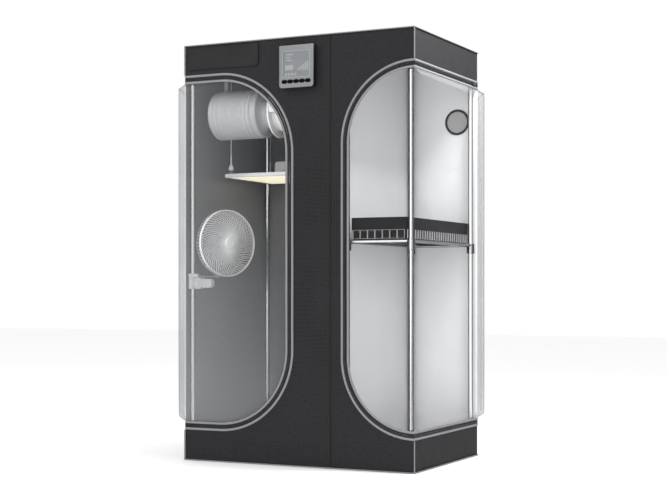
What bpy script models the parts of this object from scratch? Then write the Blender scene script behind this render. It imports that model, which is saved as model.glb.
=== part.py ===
# Indoor grow tent: pole frame, sewn fabric cover, clear corner doors, shelf and fastened equipment.
# Origin at the bottom centre, +X along the front to the viewer's right, front face at -Y, metres.

import math

import bmesh
import bpy
from mathutils import Vector

# Tent cover
TENT_WIDTH = 0.914
TENT_DEPTH = 0.610
TENT_HEIGHT = 1.524
FABRIC = 0.0015
SEAT_GAP = 0.0003
CUT_OVERRUN = 0.02
HALF_W = TENT_WIDTH / 2
HALF_D = TENT_DEPTH / 2

# Inner wall between the wide chamber and the narrow one
DIVIDER_FROM_RIGHT = 0.262
DIVIDER_X = HALF_W - DIVIDER_FROM_RIGHT

# Door windows in the front panel: place of the straight upright edge, corner arcs, top and bottom
LEFT_WINDOW_EDGE = 0.007
RIGHT_WINDOW_OVERLAP = 0.015
RIGHT_WINDOW_EDGE = DIVIDER_X - RIGHT_WINDOW_OVERLAP
LEFT_WINDOW_ARC = 0.300
RIGHT_WINDOW_ARC = 0.277
HEADER_DROP = 0.110
WINDOW_TOP = TENT_HEIGHT - HEADER_DROP
WINDOW_BOTTOM = 0.112
ARC_STEPS = 10

# Zip band: two raised pipings with flat tape between them
PIPING_WIDTH = 0.008
PIPING_PROUD = 0.0032
TAPE_PROUD = 0.0016
BAND_WIDTH = 0.032
ZIP_SLOT = 0.0012
EDGE_PIPING = 0.0045

# Clear door film
FILM = 0.0010
DOOR_BULGE = 0.030
DOOR_SLANT = 0.034
HINGE_STRIP = 0.012

# Zip slider
SLIDER_LENGTH = 0.016
SLIDER_WIDTH = 0.011
SLIDER_HEIGHT = 0.0035
PULLER_LENGTH = 0.030
PULLER_WIDTH = 0.007
SLIDER_FROM_BACK = 0.035

# Pole frame
POLE_RADIUS = 0.0095
POLE_WALL = 0.0012
POLE_INSET = 0.020
POLE_SIDES = 12
WIDE_SIDES = 24
SLIM_SIDES = 8
CONNECTOR_RADIUS = 0.0125
CONNECTOR_REACH = 0.026
STUB_REACH = 0.055

# Hanger bars over the left chamber
BAR_RADIUS = 0.0080
FRONT_BAR_SET_IN = 0.135
MIDDLE_BAR_SET_IN = 0.235
BACK_BAR_SET_IN = 0.065
BAR_PLACES = (FRONT_BAR_SET_IN - HALF_D, MIDDLE_BAR_SET_IN - HALF_D, HALF_D - BACK_BAR_SET_IN)
CLIP_WIDTH = 0.016
CLIP_WALL = 0.0024
CLIP_STEP = 30

# Shelf and tray in the right chamber
SHELF_TUBE = 0.0080
SHELF_HEIGHT = 0.791
TRAY_FROM_DIVIDER = 0.017
TRAY_FROM_RIGHT = 0.0305
TRAY_FROM_FRONT = 0.008
TRAY_FROM_BACK = 0.009
TRAY_LEFT = DIVIDER_X + TRAY_FROM_DIVIDER
TRAY_RIGHT = HALF_W - TRAY_FROM_RIGHT
TRAY_FRONT = TRAY_FROM_FRONT - HALF_D
TRAY_BACK = HALF_D - TRAY_FROM_BACK
TRAY_HEIGHT = 0.077
TRAY_RIB_ZONE = 0.034
TRAY_WALL = 0.0030
TRAY_CORNER = 0.014
TRAY_DRAFT = 0.0020
RIB_PROUD = 0.0014
FRONT_CELLS = 7
SIDE_RIBS = 28
SHELF_CLAMP_HEIGHT = 0.036
SHELF_CLAMP_WALL = 0.0045

# Round vent in the back of the right chamber, and sleeve port in the back of the left one
VENT_FROM_RIGHT = 0.081
VENT_DROP = 0.260
VENT_X = HALF_W - VENT_FROM_RIGHT
VENT_Z = TENT_HEIGHT - VENT_DROP
VENT_RADIUS = 0.046
VENT_RIM = 0.0060
MESH_SHEET = 0.0010
PORT_FROM_LEFT = 0.287
PORT_DROP = 0.194
PORT_X = PORT_FROM_LEFT - HALF_W
PORT_Z = TENT_HEIGHT - PORT_DROP
PORT_RADIUS = 0.075
PORT_REACH = 0.040
PORT_WAIST = 0.022

# Controller on the front panel
CONTROLLER_X = 0.016
CONTROLLER_Z = WINDOW_TOP
CONTROLLER_WIDTH = 0.136
CONTROLLER_HEIGHT = 0.150
CONTROLLER_DEPTH = 0.024
CONTROLLER_WALL = 0.0030
CONTROLLER_ROUND = 0.011
SCREEN_WIDTH = 0.108
SCREEN_HEIGHT = 0.094
SCREEN_DROP = 0.020
BUTTONS = 5
BUTTON_WIDTH = 0.0185
BUTTON_HEIGHT = 0.0100
BUTTON_PITCH = 0.0232
BUTTON_RISE = 0.022
BUTTON_TRAVEL = 0.0012
BUTTON_PROUD = 0.0016
RUNNING_GAP = 0.0005

# Bare plate on the header
PLATE_FROM_LEFT = 0.018
PLATE_WIDTH = 0.290
PLATE_DROP = 0.014
PLATE_HEIGHT = 0.078
PLATE_LEFT = PLATE_FROM_LEFT - HALF_W
PLATE_RIGHT = PLATE_LEFT + PLATE_WIDTH
PLATE_TOP = TENT_HEIGHT - PLATE_DROP
PLATE_LOW = PLATE_TOP - PLATE_HEIGHT
PLATE_THICK = 0.0040
PLATE_ROUND = 0.010

# Carbon filter and inline duct fan
DUCT_DROP = 0.249
DUCT_Y = BAR_PLACES[0]
DUCT_Z = TENT_HEIGHT - DUCT_DROP
FILTER_RADIUS = 0.090
FILTER_FROM_LEFT = 0.061
FILTER_LENGTH = 0.206
FILTER_LEFT = FILTER_FROM_LEFT - HALF_W
FILTER_RIGHT = FILTER_LEFT + FILTER_LENGTH
FILTER_CAP = 0.024
FILTER_CAP_WALL = 0.0025
SPIGOT_RADIUS = 0.050
DUCT_RING = 0.093
TWIST_FADE_SHARE = 0.45
BLADE_DEPTH_SHARE = 1.7
NOSE_SHARE = 1.5
BOX_BLANK_SHARE = 1.7
CLAMP_START_SHARE = 1.5
WIDE_FIN_SHARE = 1.6
FAN_AFTER_FILTER = 0.050
FAN_START = FILTER_RIGHT + FAN_AFTER_FILTER
FAN_BODY = 0.170
FAN_WALL = 0.0030
FAN_RADIUS = 0.080
FAN_NECK = 0.055
BLADES = 7
MOTOR_RADIUS = 0.034
BOX_LENGTH = 0.090
BOX_HEIGHT = 0.050
STRAP_WIDTH = 0.020
STRAP_THICK = 0.0016
STRAP_SET_IN = 0.0345
STRAP_PLACES = (FILTER_LEFT + STRAP_SET_IN, FILTER_RIGHT - STRAP_SET_IN)
BUCKLE_WIDTH = 0.028

# Hanging light
LIGHT_FROM_LEFT = 0.042
LIGHT_FROM_DIVIDER = 0.175
LIGHT_PAST_BAR = 0.030
LIGHT_FROM_BACK = 0.033
LIGHT_DROP = 0.472
LIGHT_LEFT = LIGHT_FROM_LEFT - HALF_W
LIGHT_RIGHT = DIVIDER_X - LIGHT_FROM_DIVIDER
LIGHT_FRONT = BAR_PLACES[1] - LIGHT_PAST_BAR
LIGHT_BACK = HALF_D - LIGHT_FROM_BACK
LIGHT_Z = TENT_HEIGHT - LIGHT_DROP
LIGHT_THICK = 0.014
LIGHT_FRAME = 0.010
LENS = 0.003
DRIVER_LENGTH = 0.200
DRIVER_DEPTH = 0.085
DRIVER_HEIGHT = 0.052
DRIVER_ROUND = 0.010
ROPE = 0.0030
ROPE_INSET = 0.015
RATCHET_RADIUS = 0.009
RATCHET_HEIGHT = 0.034

# Clip fan
CLAMP_Z = 0.650
FAN_OVER_CLAMP = 0.150
FAN_FROM_LEFT = 0.103
FAN_FROM_FRONT = 0.130
FAN_CENTRE = (FAN_FROM_LEFT - HALF_W, FAN_FROM_FRONT - HALF_D, CLAMP_Z + FAN_OVER_CLAMP)
FAN_AIM = -23.75
GRILLE_RADIUS = 0.125
GRILLE_DOME = 0.018
GRILLE_DEPTH = 0.066
SPOKES = 48
REAR_RIBS = 20
SPOKE_SWIRL = 48.0
SPOKE_WIDTH = 0.0020
SPOKE_DEPTH = 0.0034
RING_TUBE = 0.0045
CAP_RADIUS = 0.020
CAP_HEIGHT = 0.0055
IMPELLER_RADIUS = 0.104
IMPELLER_HUB = 0.026
IMPELLER_DEPTH = 0.034
FAN_BLADES = 7
BLADE_TWIST = 42.0
MOTOR_CASE = 0.040
MOTOR_CASE_LENGTH = 0.034
YOKE_RADIUS = 0.011
PIVOT_SHARE = 1.12
WHEEL_SHARE = 0.38
SHAFT_RADIUS = 0.004
KNUCKLE_HALF = 0.007
CLAMP_HEIGHT = 0.044
CLAMP_WALL = 0.0060
HANDLE_LENGTH = 0.072

POLE_X = HALF_W - POLE_INSET
POLE_Y = HALF_D - POLE_INSET
RAIL_TOP = TENT_HEIGHT - FABRIC - SEAT_GAP - CONNECTOR_RADIUS
RAIL_LOW = FABRIC + SEAT_GAP + CONNECTOR_RADIUS


def clear_scene():
    for obj in list(bpy.data.objects):
        bpy.data.objects.remove(obj, do_unlink=True)


def material(name, colour, roughness, metallic=0.0, alpha=1.0):
    """One Principled material for one sub-part."""
    mat = bpy.data.materials.new(name)
    mat.use_nodes = True
    shader = mat.node_tree.nodes["Principled BSDF"]
    shader.inputs["Base Color"].default_value = (*colour, 1.0)
    shader.inputs["Roughness"].default_value = roughness
    shader.inputs["Metallic"].default_value = metallic
    shader.inputs["Alpha"].default_value = alpha
    mat.diffuse_color = (*colour, alpha)
    return mat


BLACK_CLOTH = ((0.045, 0.045, 0.048), 0.85, 0.0)
LINING = ((0.72, 0.73, 0.75), 0.45, 0.1)
STEEL = ((0.62, 0.63, 0.65), 0.30, 0.9)
PALE_PLASTIC = ((0.56, 0.56, 0.58), 0.45, 0.0)
DARK_PLASTIC = ((0.03, 0.03, 0.033), 0.45, 0.0)
GREY_TRIM = ((0.27, 0.27, 0.28), 0.55, 0.0)
CLEAR_FILM = ((0.80, 0.82, 0.84), 0.10, 0.0)
GLOW = ((0.93, 0.91, 0.80), 0.35, 0.0)
WEBBING = ((0.50, 0.50, 0.51), 0.80, 0.0)


def place(name, bm, look, origin=(0.0, 0.0, 0.0), smooth=None, alpha=1.0):
    """Puts the world-space mesh into one object whose origin is at the given point."""
    bmesh.ops.recalc_face_normals(bm, faces=bm.faces)
    bmesh.ops.translate(bm, verts=bm.verts, vec=-Vector(origin))
    mesh = bpy.data.meshes.new(name)
    bm.to_mesh(mesh)
    bm.free()
    if smooth is not None:
        mesh.shade_smooth()
        mesh.set_sharp_from_angle(angle=math.radians(smooth))
    obj = bpy.data.objects.new(name, mesh)
    obj.location = origin
    bpy.context.scene.collection.objects.link(obj)
    mesh.materials.append(material(name + "_finish", *look, alpha=alpha))
    return obj


def skin(bm, rings, closed_path=False, cap=True):
    """Quads between rings that have the same number of points, with flat ends."""
    rows = [[bm.verts.new(p) for p in ring] for ring in rings]
    count = len(rows[0])
    pairs = list(zip(rows, rows[1:]))
    if closed_path:
        pairs.append((rows[-1], rows[0]))
    for a, b in pairs:
        for i in range(count):
            j = (i + 1) % count
            bm.faces.new((a[i], a[j], b[j], b[i]))
    if cap and not closed_path:
        bm.faces.new(rows[0][::-1])
        bm.faces.new(rows[-1])


def box(bm, low, high):
    x0, y0, z0 = low
    x1, y1, z1 = high
    ring = ((x0, y0), (x1, y0), (x1, y1), (x0, y1))
    skin(bm, [[(x, y, z) for x, y in ring] for z in (z0, z1)])


def basis(direction):
    """Two unit vectors square to a direction."""
    d = Vector(direction).normalized()
    helper = Vector((0, 0, 1)) if abs(d.z) < math.cos(math.radians(45)) else Vector((1, 0, 0))
    u = d.cross(helper).normalized()
    return u, d.cross(u).normalized()


def circle(centre, direction, radius, sides, turn=0.0):
    u, v = basis(direction)
    c = Vector(centre)
    points = []
    for i in range(sides):
        a = turn + math.tau * i / sides
        points.append(c + (u * math.cos(a) + v * math.sin(a)) * radius)
    return points


def rod(bm, start, end, radius, sides=POLE_SIDES):
    direction = Vector(end) - Vector(start)
    skin(bm, [circle(p, direction, radius, sides) for p in (start, end)])


def tube(bm, start, end, radius, wall, sides=POLE_SIDES):
    """An open round tube."""
    direction = Vector(end) - Vector(start)
    inner = radius - wall
    rings = [circle(start, direction, radius, sides), circle(end, direction, radius, sides),
             circle(end, direction, inner, sides), circle(start, direction, inner, sides)]
    skin(bm, rings, closed_path=True)


def turned(bm, centre, direction, profile, sides, closed_path=True):
    """A profile of (distance along, radius) turned about an axis."""
    c = Vector(centre)
    d = Vector(direction).normalized()
    rings = [circle(c + d * along, d, radius, sides) for along, radius in profile]
    skin(bm, rings, closed_path=closed_path)


def rounded_rect(width, height, radius, steps=5, corners=(1, 1, 1, 1)):
    """Outline from the lower left corner, anticlockwise; corners says which are rounded."""
    half_w, half_h = width / 2, height / 2
    signs = ((-1, -1), (1, -1), (1, 1), (-1, 1))
    points = []
    for n, (sx, sy) in enumerate(signs):
        r = radius * corners[n]
        if r == 0:
            points.append((sx * half_w, sy * half_h))
            continue
        for k in range(steps + 1):
            a = math.pi + math.pi / 2 * (n + k / steps)
            points.append((sx * (half_w - r) + r * math.cos(a), sy * (half_h - r) + r * math.sin(a)))
    return points


def prism(bm, outline, to_world, near, far):
    skin(bm, [[to_world(u, v, d) for u, v in outline] for d in (near, far)])


def cut(target, name, bm):
    """Cuts a hidden cutter out of a piece."""
    cutter = place(name, bm, DARK_PLASTIC)
    cutter.hide_render = True
    cutter.display_type = "WIRE"
    boolean = target.modifiers.new(name, "BOOLEAN")
    boolean.operation = "DIFFERENCE"
    boolean.solver = "EXACT"
    boolean.object = cutter


# Door outline on the front and side, unfolded: s runs along the front from the centre, then along the side

def window_size(side):
    return (LEFT_WINDOW_EDGE, LEFT_WINDOW_ARC) if side < 0 else (RIGHT_WINDOW_EDGE, RIGHT_WINDOW_ARC)


def corner_arcs(side, inset):
    """Front part of the door line, top corner to bottom corner, moved inwards by inset, as (s, z)."""
    edge, arc = window_size(side)
    start = edge * side + inset
    radius = min(arc - inset, HALF_W - start)
    top, low = WINDOW_TOP - inset, WINDOW_BOTTOM + inset
    points = []
    for z, sign in ((top, 1), (low, -1)):
        run = []
        for k in range(ARC_STEPS + 1):
            a = math.pi / 2 * k / ARC_STEPS
            run.append((start + radius * (1 - math.sin(a)), z - sign * radius * (1 - math.cos(a))))
        points += run if sign > 0 else run[::-1]
    return points


def folded(side, s, z, proud):
    """Unfolded place to the world, standing proud of the cover."""
    if s < HALF_W:
        return Vector((side * s, -HALF_D - proud, z))
    if s == HALF_W:
        return Vector((side * (HALF_W + proud), -HALF_D - proud, z))
    return Vector((side * (HALF_W + proud), -HALF_D + s - HALF_W, z))


def door_line(side, inset):
    """Whole door line: from the back edge of the side, round the front, and back along the side."""
    top, low = WINDOW_TOP - inset, WINDOW_BOTTOM + inset
    back = HALF_W + TENT_DEPTH
    front = corner_arcs(side, inset)
    line = [(back, top), (HALF_W, top)]
    line += [p for p in front if p[0] < HALF_W - SEAT_GAP]
    return line + [(HALF_W, low), (back, low)]


def zip_strip(bm, side, near_piping, edge_inset, tape_inset):
    """One half of the zip band: a raised piping along edge_inset and flat tape up to tape_inset."""
    step = PIPING_WIDTH if near_piping else -PIPING_WIDTH
    bevel = PIPING_PROUD / 3
    lift = SEAT_GAP
    section = ((edge_inset, lift), (edge_inset, PIPING_PROUD - bevel), (edge_inset + step / 4, PIPING_PROUD),
               (edge_inset + step * 3 / 4, PIPING_PROUD), (edge_inset + step, TAPE_PROUD),
               (tape_inset, TAPE_PROUD), (tape_inset, lift))
    lines = {inset: door_line(side, inset) for inset, _ in section}
    count = min(len(line) for line in lines.values())
    rings = []
    for k in range(count):
        rings.append([folded(side, *lines[inset][k], proud) for inset, proud in section])
    skin(bm, rings)


# Pole frame

def pole_centres():
    return [(x, y) for x in (-POLE_X, DIVIDER_X, POLE_X) for y in (-POLE_Y, POLE_Y)]


def upright_poles():
    columns = (("left", -POLE_X), ("divider", DIVIDER_X), ("right", POLE_X))
    for label, x in columns:
        for row, y in (("front", -POLE_Y), ("back", POLE_Y)):
            bm = bmesh.new()
            tube(bm, (x, y, RAIL_LOW + CONNECTOR_REACH), (x, y, RAIL_TOP - CONNECTOR_REACH), POLE_RADIUS, POLE_WALL)
            place(f"pole_{row}_{label}", bm, STEEL, smooth=40)


def rail_frame(name, z, up):
    """Front, back, side and divider rails, with a moulded joint at each upright whose stub enters the pole."""
    stub = POLE_RADIUS - POLE_WALL - SEAT_GAP
    collar = POLE_RADIUS + POLE_WALL * 1.2
    along_x, along_y, hubs, collars_x, collars_y, stubs = (bmesh.new() for _ in range(6))
    for y in (-POLE_Y, POLE_Y):
        rod(along_x, (-POLE_X, y, z), (POLE_X, y, z), POLE_RADIUS)
    for x in (-POLE_X, DIVIDER_X, POLE_X):
        rod(along_y, (x, -POLE_Y, z), (x, POLE_Y, z), POLE_RADIUS)
    for x, y in pole_centres():
        rod(hubs, (x, y, z - CONNECTOR_RADIUS), (x, y, z + CONNECTOR_RADIUS), CONNECTOR_RADIUS)
        left = x - CONNECTOR_REACH * (x > -POLE_X)
        right = x + CONNECTOR_REACH * (x < POLE_X)
        rod(collars_x, (left, y, z), (right, y, z), collar, SLIM_SIDES)
        rod(collars_y, (x, y, z), (x, y - math.copysign(CONNECTOR_REACH, y), z), collar, SLIM_SIDES)
        shoulder = CONNECTOR_REACH - SEAT_GAP
        profile = ((0.0, POLE_RADIUS), (shoulder, POLE_RADIUS), (shoulder, stub), (STUB_REACH, stub))
        turned(stubs, (x, y, z), (0, 0, up), profile, POLE_SIDES, closed_path=False)
    place(name, joined(name, [along_x, along_y, hubs, collars_x, collars_y, stubs]), STEEL, smooth=40)


def joined(name, pieces):
    """A union of overlapping closed meshes, as one closed mesh."""
    objects = []
    for n, bm in enumerate(pieces):
        bmesh.ops.recalc_face_normals(bm, faces=bm.faces)
        mesh = bpy.data.meshes.new(f"{name}_{n}")
        bm.to_mesh(mesh)
        bm.free()
        obj = bpy.data.objects.new(mesh.name, mesh)
        bpy.context.scene.collection.objects.link(obj)
        objects.append(obj)
    base = objects[0]
    for other in objects[1:]:
        union = base.modifiers.new(other.name, "BOOLEAN")
        union.operation = "UNION"
        union.solver = "EXACT"
        union.object = other
    graph = bpy.context.evaluated_depsgraph_get()
    result = bmesh.new()
    result.from_mesh(base.evaluated_get(graph).to_mesh())
    for obj in objects:
        bpy.data.objects.remove(obj, do_unlink=True)
    return result


def append(target, source):
    """Adds a copy of one mesh to another."""
    mesh = bpy.data.meshes.new("piece")
    source.to_mesh(mesh)
    source.free()
    target.from_mesh(mesh)
    bpy.data.meshes.remove(mesh)


def hanger_bars():
    """Crossbars over the left chamber, each end in a clip that hooks over a roof rail."""
    seat = (POLE_RADIUS + SEAT_GAP) / math.cos(math.radians(CLIP_STEP / 2))
    reach = seat + CLIP_WALL
    z = bar_height()
    for label, y in zip(("front", "middle", "back"), BAR_PLACES):
        bar, clips = bmesh.new(), bmesh.new()
        rod(bar, (-POLE_X + reach - CLIP_WALL / 2, y, z), (DIVIDER_X - reach + CLIP_WALL / 2, y, z), BAR_RADIUS, SLIM_SIDES)
        for x, side in ((-POLE_X, 1), (DIVIDER_X, -1)):
            arc = [math.radians(a) for a in range(-CLIP_STEP // 2, 180 + CLIP_STEP, CLIP_STEP)]
            outer = [(math.cos(a) * reach, math.sin(a) * reach) for a in arc]
            inner = [(math.cos(a) * seat, math.sin(a) * seat) for a in reversed(arc)]
            foot = [(reach, -BAR_RADIUS), (seat, -BAR_RADIUS)]
            prism(clips, outer + inner + foot[::-1], lambda u, v, d: Vector((x + u * side, d, z + v)),
                  y - CLIP_WIDTH / 2, y + CLIP_WIDTH / 2)
        place(f"hanger_bar_{label}", joined("bar", [bar, clips]), STEEL, smooth=40)


def bar_height():
    return RAIL_TOP


# Cover

def sheet_box(low, high):
    bm = bmesh.new()
    box(bm, low, high)
    return bm


def cover_height():
    return FABRIC + SEAT_GAP, TENT_HEIGHT - FABRIC - SEAT_GAP


def window_cutter(side, inset):
    bm = bmesh.new()
    beyond = HALF_W + CUT_OVERRUN
    arcs = corner_arcs(side, inset)
    outline = [(beyond, arcs[0][1])] + arcs + [(beyond, arcs[-1][1])]
    prism(bm, [(side * s, z) for s, z in outline], lambda u, v, d: Vector((u, d, v)),
          -HALF_D - CUT_OVERRUN, -HALF_D + CUT_OVERRUN)
    return bm


def cover():
    low, top = cover_height()
    zip_middle = BAND_WIDTH / 2
    hem = EDGE_PIPING / 2
    x, y = HALF_W + hem, HALF_D + hem
    roof = sheet_box((-x, -y, TENT_HEIGHT - FABRIC), (x, y, TENT_HEIGHT))
    place("roof_panel", joined("roof", [roof, *edge_piping(TENT_HEIGHT - EDGE_PIPING / 2, WINDOW_TOP + SEAT_GAP)]),
          BLACK_CLOTH)
    floor = sheet_box((-x, -y, 0.0), (x, y, FABRIC))
    place("floor_panel", joined("floor", [floor, *edge_piping(EDGE_PIPING / 2, WINDOW_BOTTOM - SEAT_GAP)]), BLACK_CLOTH)
    front = place("front_panel", sheet_box((-HALF_W, -HALF_D, low), (HALF_W, -HALF_D + FABRIC, top)), BLACK_CLOTH)
    cut(front, "left_window", window_cutter(-1, zip_middle))
    cut(front, "right_window", window_cutter(1, zip_middle))
    back = place("back_panel", sheet_box((-HALF_W, HALF_D - FABRIC, low), (HALF_W, HALF_D, top)), BLACK_CLOTH)
    for name, x, z, radius in (("vent_hole", VENT_X, VENT_Z, VENT_RADIUS), ("port_hole", PORT_X, PORT_Z, PORT_RADIUS)):
        bm = bmesh.new()
        rod(bm, (x, HALF_D - CUT_OVERRUN, z), (x, HALF_D + CUT_OVERRUN, z), radius, 32)
        cut(back, name, bm)
    inner_y = HALF_D - FABRIC - SEAT_GAP
    band_low = WINDOW_TOP - zip_middle
    band_top = WINDOW_BOTTOM + zip_middle
    for name, z0, z1 in (("right_header_band", band_low, top), ("right_footer_band", low, band_top)):
        place(name, sheet_box((HALF_W - FABRIC, -inner_y, z0), (HALF_W, inner_y, z1)), BLACK_CLOTH)
    place("left_side_panel", sheet_box((-HALF_W, -inner_y, low), (-HALF_W + FABRIC, inner_y, top)), BLACK_CLOTH)
    wall = DIVIDER_X - POLE_RADIUS - SHELF_CLAMP_WALL - 2 * SEAT_GAP
    divider = sheet_box((wall - FABRIC, -inner_y, low), (wall, inner_y, top))
    divider_panel = place("divider_wall", divider, LINING)
    notch = bmesh.new()
    clear = CONNECTOR_RADIUS + SEAT_GAP
    for y in (-POLE_Y, POLE_Y):
        for z in (RAIL_LOW, RAIL_TOP):
            rod(notch, (wall - CUT_OVERRUN, y, z), (wall + CUT_OVERRUN, y, z), clear, POLE_SIDES)
    for y in BAR_PLACES:
        rod(notch, (wall - CUT_OVERRUN, y, bar_height()), (wall + CUT_OVERRUN, y, bar_height()),
            BAR_RADIUS + SEAT_GAP * 2, SLIM_SIDES)
    cut(divider_panel, "rail_notches", notch)


def edge_piping(z, corner_end):
    """Round piping sewn along all four edges of the roof or floor, and along the front corners of the bands."""
    r = EDGE_PIPING / 2
    outer = r + SEAT_GAP
    x, y = HALF_W + outer, HALF_D + outer
    loop = bmesh.new()
    rings = []
    for cx, cy in ((x, y), (-x, y), (-x, -y), (x, -y)):
        d = Vector((math.copysign(1, cx), math.copysign(1, cy), 0))
        ring = []
        for k in range(8):
            a = math.tau * k / 8
            ring.append(Vector((cx, cy, z)) + d * (r * math.cos(a)) + Vector((0, 0, r * math.sin(a))))
        rings.append(ring)
    skin(loop, rings, closed_path=True)
    corners = bmesh.new()
    for side in (-1, 1):
        at = Vector((side * x, -y, z))
        rod(corners, at, (at.x, at.y, corner_end), r, 8)
    return [loop, corners]


# Doors

def film_inset():
    return BAND_WIDTH + SEAT_GAP + FILM


def film_columns(side):
    """Columns of the film from the D edge to the back: s, low z and high z, each with how far its edge and middle stand out."""
    arcs = corner_arcs(side, film_inset())
    half = len(arcs) // 2
    flush = PIPING_PROUD
    columns = []
    for (s, high), (s_low, low) in zip(reversed(arcs[:half]), arcs[half:]):
        columns.append((s, low, high, flush))
    return columns


def film_rings(side):
    top, low = WINDOW_TOP - film_inset(), WINDOW_BOTTOM + film_inset()
    mid_top, mid_low = top - DOOR_SLANT, low + DOOR_SLANT
    flush = SEAT_GAP * 2
    columns = []
    for s, z0, z1, _ in film_columns(side):
        if s > HALF_W - SEAT_GAP:
            continue
        share = (z1 - z0) / (top - low)
        q0, q1 = z0 + DOOR_SLANT * share, z1 - DOOR_SLANT * share
        columns.append([Vector((side * s, -HALF_D - flush, z)) for z in (z0, q0, q1, z1)])
    corner_x, out_x = HALF_W + flush, HALF_W + DOOR_BULGE
    zs = (low, mid_low, mid_top, top)
    columns.append([Vector((side * corner_x, -HALF_D - flush, z)) for z in zs])
    bulge = (corner_x, out_x, out_x, corner_x)
    for y in (-HALF_D - flush, HALF_D - DOOR_SLANT):
        start = y + flush if y < 0 else y
        columns.append([Vector((side * px, y if px == out_x else start, z)) for px, z in zip(bulge, zs)])
    columns.append([Vector((side * corner_x, HALF_D - HINGE_STRIP, z)) for z in zs])
    columns.append([Vector((side * corner_x, HALF_D, z)) for z in zs])
    return columns


def door_film(name, side):
    """A thin clear sheet shaped over the corner, with its side part standing proud."""
    columns = film_rings(side)
    bm = bmesh.new()
    grid = [[bm.verts.new(p) for p in column] for column in columns]
    for a, b in zip(grid, grid[1:]):
        for i in range(len(a) - 1):
            quad = (a[i], b[i], b[i + 1], a[i + 1])
            if (quad[0].co - quad[1].co).length + (quad[2].co - quad[3].co).length > SEAT_GAP:
                bm.faces.new(quad)
    bmesh.ops.recalc_face_normals(bm, faces=bm.faces)
    outward = Vector((side, 0, 0))
    flat_face = max(bm.faces, key=lambda f: f.calc_area())
    if flat_face.normal.dot(outward) < 0:
        bmesh.ops.reverse_faces(bm, faces=bm.faces)
    mesh = bpy.data.meshes.new(name)
    origin = Vector((side * HALF_W, HALF_D, 0.0))
    bmesh.ops.translate(bm, verts=bm.verts, vec=-origin)
    bm.to_mesh(mesh)
    bm.free()
    obj = bpy.data.objects.new(name, mesh)
    obj.location = origin
    bpy.context.scene.collection.objects.link(obj)
    solid = obj.modifiers.new("film_thickness", "SOLIDIFY")
    solid.thickness = FILM
    solid.offset = 1.0
    mesh.materials.append(material(name + "_finish", *CLEAR_FILM, alpha=0.2))
    return obj


def zip_slider(name, side):
    """Slider body with a hinged puller, on the upper side run of the zip."""
    bm = bmesh.new()
    z = WINDOW_TOP - BAND_WIDTH / 2
    y = HALF_D - SLIDER_FROM_BACK
    base = HALF_W + TAPE_PROUD + SEAT_GAP
    body = rounded_rect(SLIDER_LENGTH, SLIDER_WIDTH, SLIDER_WIDTH / 4, 2)
    prism(bm, body, lambda u, v, d: Vector((side * d, y + u, z + v)), base, base + SLIDER_HEIGHT)
    tab = rounded_rect(PULLER_LENGTH, PULLER_WIDTH, PULLER_WIDTH / 3, 2)
    puller = base + SLIDER_HEIGHT / 2
    pull = bmesh.new()
    prism(pull, tab, lambda u, v, d: Vector((side * d, y + u - PULLER_LENGTH / 2, z + v)),
          puller, base + SLIDER_HEIGHT + SLIDER_HEIGHT / 4)
    place(name, joined("slider", [bm, pull]), DARK_PLASTIC, origin=(side * base, y, z), smooth=30)


def doors():
    middle = BAND_WIDTH / 2
    for label, side in (("left", -1), ("right", 1)):
        hinge = (side * HALF_W, HALF_D, 0.0)
        track = bmesh.new()
        zip_strip(track, side, True, 0.0, middle - ZIP_SLOT / 2)
        place(label + "_zip_track", track, GREY_TRIM, smooth=30)
        tape = bmesh.new()
        zip_strip(tape, side, False, BAND_WIDTH, middle + ZIP_SLOT / 2)
        place(label + "_door_zip_tape", tape, GREY_TRIM, origin=hinge, smooth=30)
        door_film(label + "_door_film", side)
        zip_slider(label + "_zip_slider", side)


# Back wall fittings

def back_vent():
    """Round mesh vent: a sheet of mesh in the hole, held by a sewn rim inside."""
    inner_face = HALF_D - FABRIC
    centre = (VENT_X, inner_face, VENT_Z)
    rim = bmesh.new()
    hole = VENT_RADIUS - VENT_RIM
    edge = VENT_RADIUS + VENT_RIM / 2
    mesh_edge = VENT_RADIUS - SEAT_GAP
    turned(rim, centre, (0, -1, 0),
           ((-MESH_SHEET, mesh_edge), (SEAT_GAP, mesh_edge), (SEAT_GAP, edge), (VENT_RIM / 4, edge),
            (VENT_RIM / 2, VENT_RADIUS), (VENT_RIM / 4, hole), (0.0, hole)), 32, closed_path=False)
    place("back_vent", rim, DARK_PLASTIC, smooth=40)


def sleeve_port():
    """Cloth duct sleeve sewn round a hole in the back, gathered shut inside by its drawstring."""
    face = HALF_D - FABRIC - SEAT_GAP
    centre = (PORT_X, face, PORT_Z)
    bm = bmesh.new()
    skirt = PORT_RADIUS + VENT_RIM
    throat = PORT_REACH * 2 / 3
    lip = PORT_WAIST * 1.3
    outer = ((0.0, skirt), (FABRIC, skirt), (FABRIC * 2, PORT_RADIUS), (throat, PORT_WAIST), (PORT_REACH, lip))
    inner = ((PORT_REACH, lip - FABRIC), (throat, PORT_WAIST - FABRIC), (FABRIC * 2, PORT_RADIUS - FABRIC),
             (0.0, PORT_RADIUS - FABRIC))
    turned(bm, centre, (0, -1, 0), outer + inner, WIDE_SIDES)
    cord = bmesh.new()
    knot = throat + ROPE / 2
    reach = PORT_WAIST + ROPE / 4
    profile = []
    for k in range(4):
        a = math.tau * k / 4
        profile.append((knot - ROPE / 2 + ROPE / 2 * math.cos(a), reach + ROPE / 2 * math.sin(a)))
    turned(cord, centre, (0, -1, 0), profile, WIDE_SIDES)
    place("duct_sleeve", joined("sleeve", [bm, cord]), BLACK_CLOTH, smooth=60)


# Controller

def controller_point(u, v, d):
    return Vector((CONTROLLER_X + u, d, CONTROLLER_Z + v))


def button_places():
    z = -CONTROLLER_HEIGHT / 2 + BUTTON_RISE
    return [((n - (BUTTONS - 1) / 2) * BUTTON_PITCH, z) for n in range(BUTTONS)]


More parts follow.
